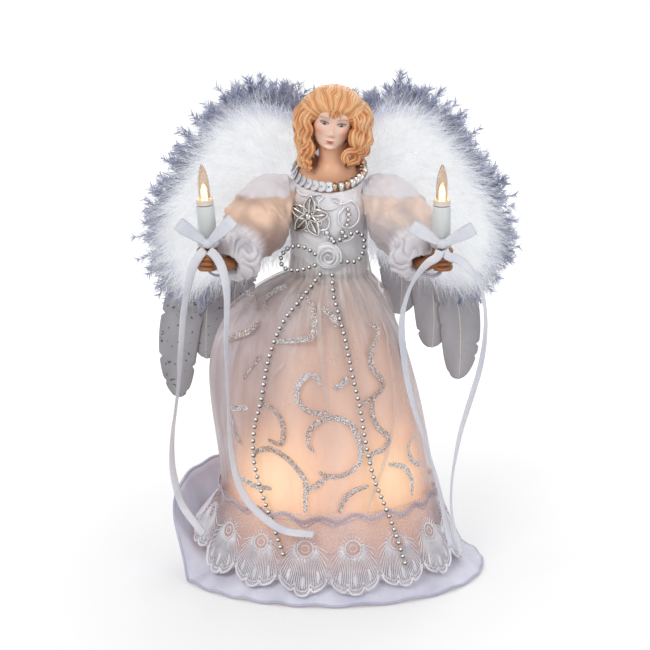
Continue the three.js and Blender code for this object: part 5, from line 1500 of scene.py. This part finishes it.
def make_filigree():
    """Bright wire scrolls with small beads, laid on the front of the bodice."""
    routes = [spline([on_front(x, rise, 1.2) for x, rise in wire], 120) for wire in FILIGREE]
    wires = [tube(route, FILIGREE_WIRE, 9) for route in routes]
    beads = [ball(radius * MM, on_front(x, rise, 1.6)) for x, rise, radius in FILIGREE_BEADS]
    show("filigree_wire", merged(wires), wire_look, stands_for=["filigree"])
    show("filigree_beads", merged(beads), silver_look)


make_collar()
make_neck_beads()
make_rose()
make_brooch()
make_filigree()
for side in SIGNS:
    make_beads(side)

# Hands, candles and bows
resin_look = plain_look("brown_resin", tone(116, 66, 34), tone(176, 112, 66), 0.4, 260, 0.1 * MM)
plastic_look = plain_look("candle_plastic", tone(204, 208, 206), tone(228, 231, 229), 0.35, 160, 0.06 * MM)
plastic_look.give({"Subsurface Weight": 0.2, "Subsurface Radius": (0.003, 0.003, 0.002)})
ivory_look = plain_look("ivory_plastic", tone(222, 202, 188), tone(246, 232, 220), 0.35, 160, 0.06 * MM)
lead_look = plain_look("lead_sheath", tone(158, 152, 172), tone(196, 190, 206), 0.45, 300, 0.06 * MM)
bulb_look = glass_look()
hot_look = shining_look("filament", (tone(255, 190, 110), tone(255, 224, 170)), 400,
                        (tone(255, 196, 110), tone(255, 232, 186)), 300, 22.0)
halo_look = shining_look("filament_glow", (tone(255, 200, 130), tone(255, 214, 150)), 200,
                         (tone(255, 176, 92), tone(255, 206, 130)), 200, 1.6, Alpha=0.3)

# Half section of the palm from the fist's middle, and sizes of the fingers and wrist, in millimetres
PALM = [(0.2, -5.3), (3.6, -5.2), (4.6, -3), (4.8, 0), (4.7, 3), (4.2, 5.2), (2.2, 5.4)]
FINGER_HEIGHTS = (-3.9, -1.3, 1.3, 3.9)
FINGER_RADIUS = 1.45
THUMB_RADIUS = 1.5
WRIST_RADIUS = 3.3


def make_hand(side):
    """A fist: a palm, four curled fingers with knuckles, a thumb and the wrist in the cuff."""
    centre = HANDS[side]
    inward = wrist(side) - centre
    start = math.atan2(inward[1], inward[0])
    shapes = [moved(lathe(mm(PALM), 28), centre)]
    turn = start + SIGNS[side] * np.linspace(-0.5, -4.6, 40)
    curl = 4.6 * MM * (1 + 0.05 * np.cos(3 * (turn - start)))
    knuckles = FINGER_RADIUS * MM * (1 + 0.12 * np.cos(np.linspace(0, 3 * TURN, 40)))
    girth = knuckles * np.sqrt(np.sin(np.linspace(0.5, 2.75, 40)))
    shapes += [tube(centre + ring(curl, turn, z * MM), girth, 12) for z in FINGER_HEIGHTS]
    thumb_turn = start + SIGNS[side] * np.linspace(0.3, 2.6, 24)
    thumb = centre + ring(4.9 * MM, thumb_turn, np.linspace(-1.5, 4.2, 24) * MM)
    shapes.append(tube(thumb, THUMB_RADIUS * MM * np.sqrt(np.sin(np.linspace(0.6, 2.8, 24))), 12))
    forearm = unit(wrist(side) - elbow(side))
    stalk = [wrist(side) - 5.7 * MM * forearm, wrist(side), mix(centre, wrist(side), 0.25)]
    shapes.append(tube(spline(stalk, 20), WRIST_RADIUS * MM, 16))
    show(side + "_fist", merged(shapes), resin_look, side + "_arm", [side + "_hand"])


def candle_frame(side):
    """The candle's foot and its three directions."""
    lean = SIGNS[side] * CANDLE_LEANS[side]
    dip = CANDLE_RADIUS * math.sin(CANDLE_LEANS[side])
    foot = HANDS[side] + [0, 0, FIST_HEIGHT / 2 + FIT_GAP + dip]
    across, up = (math.cos(lean), 0, -math.sin(lean)), (math.sin(lean), 0, math.cos(lean))
    return foot, np.array([across, (0, 1, 0), up])


def on_candle(side, shape, rise=0.0):
    foot, ways = candle_frame(side)
    return moved(turned(moved(shape, (0, 0, rise)), ways), foot)


LEAD_RADIUS = 0.55 * MM


def make_lead(side):
    """The twin lead, from the candle's foot down through the fist and back to the cuff."""
    foot, _ = candle_frame(side)
    under = wrist(side) + [0, 0, -4.95 * MM]
    low = HANDS[side][2] - FIST_HEIGHT / 2
    half_way = mix(foot, under, 0.35)
    route = [foot + [0, 0, 0.7 * MM], (*foot[:2], HANDS[side][2]), (*foot[:2], low - LEAD_RADIUS),
             (*half_way[:2], low - 3.2 * MM), under]
    path = spline(route, 60)
    across, _ = frames_along(path)
    shape = merged([tube(path + sign * LEAD_RADIUS * across, LEAD_RADIUS, 10) for sign in (-1, 1)])
    show(side + "_lead", shape, lead_look, side + "_arm", [side + "_candle_lead"])


def make_candle(side):
    """A hollow tube with a bored floor, open at the top."""
    outer, bore, rim = CANDLE_RADIUS / MM, CANDLE_RADIUS / MM - 1, CANDLE_LENGTH / MM
    section = [(1.9, 0), (outer - 0.3, 0), (outer, 0.3), (outer, rim - 0.4), (outer - 0.3, rim),
               (bore + 0.2, rim), (bore, rim - 0.3), (bore, 1.5), (1.9, 1.5), (1.9, 0)]
    wall = on_candle(side, shell(mm(section), 56))
    show(side + "_candle", wall, plastic_look, side + "_arm", [side + "_candle_tube"])


# Half sections of the bulb's base and glass and the filament's route, from the candle's rim, in millimetres
HUSK = [
    (0.1, -11), (2.9, -11), (3.05, -10.7), (3.05, 0.3), (3.9, 0.3), (4.15, 0.6), (4.15, 1.4), (4.0, 1.55),
    (4.15, 1.7), (4.15, 2.7), (3.9, 3.1), (3.25, 3.1), (3.2, 2.8), (3.2, 1.3), (0.1, 1.3),
]
GLASS_HEIGHTS = [1.6, 6, 11, 14.5, 17.2, 19, 20.1]
GLASS_RADII = [2.75, 2.9, 2.85, 2.4, 1.6, 0.8, 0.12]
FILAMENT = [(-0.8, 0, 2), (-0.75, 0, 5), (-0.6, 0, 8), (0, 0, 9.6), (0.6, 0, 8), (0.75, 0, 5), (0.8, 0, 2)]


def bulb_glass():
    heights = np.linspace(GLASS_HEIGHTS[0], GLASS_HEIGHTS[-1], 40)
    swell = np.interp(heights, GLASS_HEIGHTS, GLASS_RADII)
    inner = np.stack([np.maximum(0.06, swell - 0.4), np.minimum(heights, 19.2)], 1)[::-1]
    return shell(np.concatenate([inner, np.stack([swell, heights], 1)]) * MM, 40)


def make_bulb(side):
    """A bulb that pushes into the candle: its base, its glass, and the filament with the light round it."""
    husk = lathe(mm(HUSK), 48)
    filament = tube(spline(mm(FILAMENT), 40), 0.45 * MM, 8)
    halo = ball(1.0, (0, 0, 6 * MM), (1.6 * MM, 1.6 * MM, 4.6 * MM), 24)
    for name, shape, look, slot, stands_for in (
            ("_husk", husk, ivory_look, "white_plastic", [side + "_bulb_base"]),
            ("_glass", bulb_glass(), bulb_look, "lamp_glass", [side + "_bulb_glass"]),
            ("_filament", filament, hot_look, "lamp_glass", []),
            ("_filament_glow", halo, halo_look, "lamp_glass", [])):
        placed = on_candle(side, shape, CANDLE_LENGTH)
        show(side + name, placed, look, side + "_candle_bulb", stands_for)


# Directions of each bow's loops, in degrees, and a loop's route as shares of its reach and of its gap
BOW_LOOPS = {"left": (140, 40), "right": (28, 148)}
BOW_REACH = 17 * MM
KNOT_RADIUS = 2.6 * MM
BOW_ROUTE = [(0.03, 0.2), (0.5, 1), (0.9, 0.9), (1, 0), (0.9, -0.7), (0.5, -0.6), (0.03, -0.2)]


def bow_loop(knot_at, angle):
    """A soft loop out from the knot and back to it, pinched at its ends."""
    along = np.array([math.cos(angle), 0, math.sin(angle)])
    across = np.array([-along[2], 0, along[0]])
    route = [knot_at + along * BOW_REACH * far + np.array([0, -2 * MM * near, 0]) for far, near in BOW_ROUTE]
    path = even(spline(route, 200), 60)
    full = np.sin(math.pi * shares(60))
    half = RIBBON_WIDTH / 2 * mix(0.45, 1.4, full**0.7)
    span = both_ways(9)
    crease = 0.3 * MM * np.sin(2.5 * math.pi * span) * (1 - full)[:, None]
    return skin(path[:, None] + (half[:, None] * span)[..., None] * across + crease[..., None] * [0, 1, 0])


def make_bow(side):
    """A ribbon round the candle's foot, tied in a bow with two soft loops."""
    outer = CANDLE_RADIUS + 0.8 * MM
    angle = around(48)
    rise = np.linspace(1, 1 + RIBBON_WIDTH / MM, 5)[:, None] * MM
    band = skin(ring(outer * (1 + 0.02 * np.sin(9 * angle + rise / MM)), angle, rise), closed=True)
    knot_at = np.array([0, -outer - 1.43 * MM, 3.2 * MM])
    knot, knot_faces = ball(KNOT_RADIUS, steps=20)
    knot = knot * [1, 0.75, 0.85] * (1 + 0.07 * np.sin(7 * np.arctan2(knot[:, 2], knot[:, 0])))[:, None]
    shapes = [band, (knot + knot_at, knot_faces)]
    shapes += [bow_loop(knot_at, math.radians(degrees)) for degrees in BOW_LOOPS[side]]
    show(side + "_bow", on_candle(side, merged(shapes)), ribbon_look, side + "_arm",
         [side + "_ribbon_bow"], thick=0.15 * MM)


for side in SIGNS:
    make_hand(side)
    make_lead(side)
    make_candle(side)
    make_bulb(side)
    make_bow(side)

# Wings
WING_OUTLINE = mm([
    (4.6, 66), (16, 75), (36, 80), (52, 72), (66, 53), (80, 30), (84, 7), (75, -12), (60, -10), (42, 0),
    (22, 9), (4.6, 18),
])
MARABOU_FRONT = 15.9 * MM
MARABOU_DEPTH = 12 * MM
DOWN_STRANDS = 15000
DOWN_WIDTH = 0.26 * MM
DOWN_WHITE = pigment(247, 249, 251)
DOWN_BLUE = pigment(172, 177, 203)
TINSEL_SPRIGS = 320
TINSEL_NEEDLES = 56
# The stretch of the wing's outline that has tinsel, as shares of it
TINSEL_RUN = (0.05, 0.645)
# How deep the tinsel sits, and the shortest and longest strand, sprig and needle, in millimetres
TINSEL_DEPTHS = [20.5, 28.6, 28.6]
DOWN_LENGTHS = (9, 19)
SPRIG_LENGTHS = (8, 15)
NEEDLE_LENGTHS = (2.6, 5.2)
FEATHER_WIDTH = 21 * MM
FEATHER_BACK = 31.5 * MM
FEATHER_STEP = 1.1 * MM
VANE_ALONG = shares(90)[:, None]
VANE_ACROSS = both_ways(25)
VANE_DARK = pigment(146, 146, 152)
VANE_LIGHT = pigment(206, 205, 209)
QUILL_PALE = pigment(236, 232, 222)
# Base and tip of each feather, across and above the waist, in millimetres
FEATHERS = {
    "left": [((-40, 14), (-49, -32)), ((-52, 11), (-64, -56)), ((-64, 6), (-79, -77))],
    "right": [((32, 14), (37, -32)), ((46, 11), (54, -50)), ((58, 6), (68, -67))],
}
down_look = painted_look("marabou_down", 0.85, 200, 0.1 * MM)
# Painted light: the down glows faintly in its own painted colours
down_look.give({"Sheen Weight": 0.3, "Emission Color": down_look.painted(), "Emission Strength": 0.24})
tinsel_look = plain_look("silver_tinsel", tone(142, 148, 178), tone(206, 210, 228), 0.35, 700, 0.05 * MM,
                         Metallic=0.2)


def wing_edge(side, count):
    """The wing's outline as X and Z, and its directions outward."""
    curve = spline(WING_OUTLINE, count, closed=True) + [0, WAIST]
    along = unit(np.roll(curve, -1, 0) - np.roll(curve, 1, 0))
    out = np.stack([-along[:, 1], along[:, 0]], 1)
    flip = [SIGNS[side], 1]
    return curve * flip, out * flip


def wing_middle(side):
    return (WING_OUTLINE.mean(0) + [0, WAIST]) * [SIGNS[side], 1]


def make_pad(side):
    """The soft pad under the down, bluish where the tinsel shows at its rim."""
    edge, _ = wing_edge(side, 120)
    middle = wing_middle(side)
    turn = np.linspace(0.04, math.pi - 0.04, 30)[:, None]
    share = np.sin(turn) ** 0.35 * 1.02
    x, z = (mix(middle[k], edge[:, k], share) for k in (0, 1))
    y = MARABOU_FRONT + MARABOU_DEPTH * (0.5 - 0.5 * squared_off(np.cos(turn), 0.6))
    tint = np.broadcast_to(rising(share, 0.84, 0.16), x.shape)[..., None]
    piece = show(side + "_marabou_pad", capped(stacked(x, y, z)), down_look,
                 stands_for=[side + "_marabou"], shades=mix(DOWN_WHITE, DOWN_BLUE, tint))


def make_down(side):
    """Fine down that sweeps out from the shoulder over both faces of the pad."""
    edge, _ = wing_edge(side, 120)
    middle = wing_middle(side)
    dice = np.random.default_rng(20 + SIGNS[side])
    one, three = (DOWN_STRANDS, 1), (DOWN_STRANDS, 3)
    pick = dice.integers(0, len(edge), DOWN_STRANDS)
    far = np.sqrt(dice.uniform(0, 1, one))
    foot = mix(middle, edge[pick], far)
    rim = rising(far, 0.75, 0.25)
    front = np.where(dice.uniform(size=one) < 0.7, -1.0, 1.0)
    depth = 0.5 + 0.5 * front * (1 - rim * dice.uniform(0, 1, one))
    roots = stacked(foot[:, 0], MARABOU_FRONT + MARABOU_DEPTH * depth[:, 0], foot[:, 1])
    shoulder = np.array([SIGNS[side] * 8 * MM, WAIST + 40 * MM])
    sweep = unit(foot - shoulder + 0.3 * (foot - middle))
    lean = front * mix(0.55, 0.25, rim)
    ways = stacked(sweep[:, 0], lean[:, 0], sweep[:, 1]) + dice.normal(0, 0.34, three)
    bends = np.clip(dice.normal(0, 0.35, three) + [0, 0, -0.2], -0.5, 0.5)
    lengths = dice.uniform(*DOWN_LENGTHS, DOWN_STRANDS) * MM * mix(1.0, 0.62, rim[:, 0])
    shape = blades(roots, unit(ways), bends, lengths, DOWN_WIDTH, dice.normal(size=three), 5)
    grey = mix(DOWN_WHITE, DOWN_BLUE, 0.55 * rim * dice.uniform(0, 1, one))
    grey = grey * dice.uniform(0.82, 1, one)
    shades = np.repeat(grey, len(shape[0]) // DOWN_STRANDS, 0)
    show(side + "_marabou_down", shape, down_look, shades=shades)


def make_tinsel(side):
    """Frosted sprigs behind the wing's outer edge, each a stem with needles."""
    edge, out = wing_edge(side, 600)
    dice = np.random.default_rng(40 + SIGNS[side])
    stems, roots, ways = [], [], []
    for place in np.linspace(*TINSEL_RUN, TINSEL_SPRIGS):
        k = int(place * len(edge))
        turn = dice.normal(0, 0.35)
        way = np.array([[math.cos(turn), math.sin(turn)], [-math.sin(turn), math.cos(turn)]]) @ out[k]
        way = unit(np.array([way[0], dice.normal(0, 0.12), way[1]]))
        foot = edge[k] - out[k] * dice.uniform(-2, 10) * MM
        start = np.array([foot[0], (dice.choice(TINSEL_DEPTHS) + dice.normal(0, 0.5)) * MM, foot[1]])
        reach = dice.uniform(*SPRIG_LENGTHS) * MM
        stems.append(tube(start + way * np.linspace(0, reach, 8)[:, None], 0.22 * MM, 4))
        roots.append(start + way * dice.uniform(0.1, 1.0, (TINSEL_NEEDLES, 1)) * reach)
        spread = dice.normal(0, 1, (TINSEL_NEEDLES, 3)) * [1, 0.5, 1]
        spread -= way * (spread @ way)[:, None]
        ways.append(unit(way * 1.1 + unit(spread)))
    roots, ways = np.concatenate(roots), np.concatenate(ways)
    lengths = dice.uniform(*NEEDLE_LENGTHS, len(roots)) * MM
    needles = blades(roots, ways, 0 * ways, lengths, 0.4 * MM, dice.normal(size=roots.shape), 2)
    show(side + "_tinsel_sprigs", merged([*stems, needles]), tinsel_look,
         stands_for=[side + "_tinsel"])


def vane_outline(half_width, dice):
    """How far a vane's columns lie from the quill: tapered at both ends, with a few splits in each edge."""
    taper = np.sqrt(np.maximum(0, 1 - VANE_ALONG**5)) * np.minimum(1, VANE_ALONG / 0.22) ** 0.6
    notch = np.ones((len(VANE_ALONG), 2))
    for edge in (0, 1):
        for at in dice.uniform(0.2, 0.95, 4):
            notch[:, edge] -= dice.uniform(0.05, 0.2) * hump(VANE_ALONG[:, 0] - at, 0.012)
    return half_width * taper * VANE_ACROSS * np.where(VANE_ACROSS < 0, notch[:, :1], notch[:, 1:])


def vane_shades():
    """Greys of a vane, with painted shade towards its edges and its tip."""
    streak = 0.06 * np.sin(5 * VANE_ACROSS + 9 * VANE_ALONG)
    grey = 0.55 - 0.3 * VANE_ACROSS**2 + 0.25 * (1 - VANE_ALONG) + streak
    return mix(VANE_DARK, VANE_LIGHT, np.clip(grey, 0, 1)[..., None]).reshape(-1, 3)


def make_feather(side, number, ends, look):
    """A long feather: a quill and a cambered vane with slanting barbs."""
    base, tip = mm(ends) + [0, WAIST]
    way = unit(tip - base)
    side_way = np.array([-way[1], way[0]])
    length = float(np.linalg.norm(tip - base))
    front = FEATHER_BACK - (number - 1) * FEATHER_STEP
    dice = np.random.default_rng(60 + 10 * SIGNS[side] + number)

    def placed(run, off, y):
        x, z = (base[k] + way[k] * run + side_way[k] * off for k in (0, 1))
        return stacked(x, y, z)

    run = VANE_ALONG * length
    off_quill = np.abs(VANE_ACROSS)
    sway = 0.06 * length * np.sin(math.pi * VANE_ALONG) * SIGNS[side]
    slant = off_quill**1.5 * 3.5 * MM * (1 - VANE_ALONG)
    barb = 0.03 * MM * np.sin(run / (0.5 * MM) - off_quill * 16)
    camber = front + 0.35 * MM + 0.2 * MM * VANE_ACROSS**2 + barb
    vane = skin(placed(run + slant, vane_outline(FEATHER_WIDTH / 2 * 1.04, dice) + sway, camber))
    quill = tube(placed(run, sway, front + 0.25 * MM)[:, 0], mix(0.55, 0.12, VANE_ALONG[:, 0]) * MM, 8)
    shades = np.concatenate([vane_shades(), all_over(quill, QUILL_PALE)])
    name = f"{side}_feather_{number}"
    show(name + "_vane", merged([vane, quill]), look, stands_for=[name], shades=shades,
         thick=0.15 * MM)


feather_looks = {"left": feather_look("feather_specked", 0.9), "right": feather_look("feather", 0.1)}
for side in SIGNS:
    make_pad(side)
    make_down(side)
    make_tinsel(side)
    for number, ends in enumerate(FEATHERS[side], 1):
        make_feather(side, number, ends, feather_looks[side])

# Frame pieces that stay as they are, under the gown and behind the wings
card_look = plain_look("card", tone(214, 208, 198), tone(236, 231, 222), 0.8, 400, 0.1 * MM)
foam_look = plain_look("torso_foam", tone(222, 220, 212), tone(242, 240, 234), 0.8, 600, 0.15 * MM)
steel_look = metal_look("steel_wire", (128, 128, 132), (172, 172, 176), 0.35, 0.04)
lamp_look = glass_look()
lamp_look.give({"Emission Color": tone(255, 196, 120), "Emission Strength": 2.0})
KEPT = {
    card_look: ["skirt_cone", "left_wing_board", "right_wing_board"],
    foam_look: ["torso_form"],
    plastic_look: ["tree_socket"] + [f"skirt_lamp_holder_{k}" for k in range(1, 5)],
    steel_look: ["left_arm_wire", "right_arm_wire"],
    lead_look: ["lamp_wiring"],
    lamp_look: [f"skirt_bulb_{k}" for k in range(1, 5)],
}
for look, names in KEPT.items():
    for name in names:
        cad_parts[name].data.materials.clear()
        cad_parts[name].data.materials.append(look.material)


# Studio
FLOOR_REACH = 4.0
FLOOR_HEIGHT = -0.2 * MM
SHADOW_REACH = 0.42
LIGHT_TARGET = (0, 0, 0.13)


def make_floor():
    """A pale floor that is lifted to white for the eye and keeps the object's shadow."""
    look = plain_look("floor", (0.58, 0.58, 0.59, 1), (0.62, 0.62, 0.62, 1), 0.9, 40, 0.1 * MM)
    far = FLOOR_REACH
    corners = [(x, y, FLOOR_HEIGHT) for x, y in ((-far, -far), (far, -far), (far, far), (-far, far))]
    mesh = bpy.data.meshes.new("floor")
    mesh.from_pydata(corners, [], [(0, 1, 2, 3)])
    mesh.materials.append(look.material)
    white = look.ranged(look.near((0, 0, 0), SHADOW_REACH), 0.62, 0.34)
    lift = look.maths("MULTIPLY", look.seen_directly(), white)
    look.give({"Emission Color": WHITE, "Emission Strength": lift})
    link("floor", mesh)


def make_world():
    """Soft light, brighter from above, in front of a white backdrop."""
    world = bpy.data.worlds.new("studio")
    bpy.context.scene.world = world
    tree = Tree(world)
    place = tree.node("TexCoord", {}).outputs["Generated"]
    height = tree.node("SeparateXYZ", {"Vector": place}).outputs["Z"]
    sky = tree.nodes["Background"]
    shade = tree.ramp(height, (0.0, (0.42, 0.42, 0.44, 1)), (0.6, (0.9, 0.91, 0.93, 1)))
    tree.fill(sky, {"Color": shade, "Strength": 0.72})
    backdrop = tree.node("Background", {"Color": WHITE})
    pair = tree.node("MixShader", {0: tree.seen_directly(), 1: sky.outputs[0], 2: backdrop.outputs[0]})
    tree.fill(tree.nodes["World Output"], {"Surface": pair.outputs[0]})


def make_light(name, place, size, power, colour):
    data = bpy.data.lights.new(name, "AREA")
    data.size = size
    data.energy = power
    data.color = colour
    aimed(name, data, place, LIGHT_TARGET)


make_floor()
make_world()
make_light("key", (-0.7, -1.0, 1.1), 0.6, 7.5, (1.0, 0.98, 0.95))
make_light("fill", (0.9, -0.9, 0.5), 0.8, 3.4, (0.95, 0.97, 1.0))
make_light("rim", (0.3, 1.0, 0.9), 0.7, 4.2, (1.0, 1.0, 1.0))
bpy.context.scene.view_settings.view_transform = "Standard"
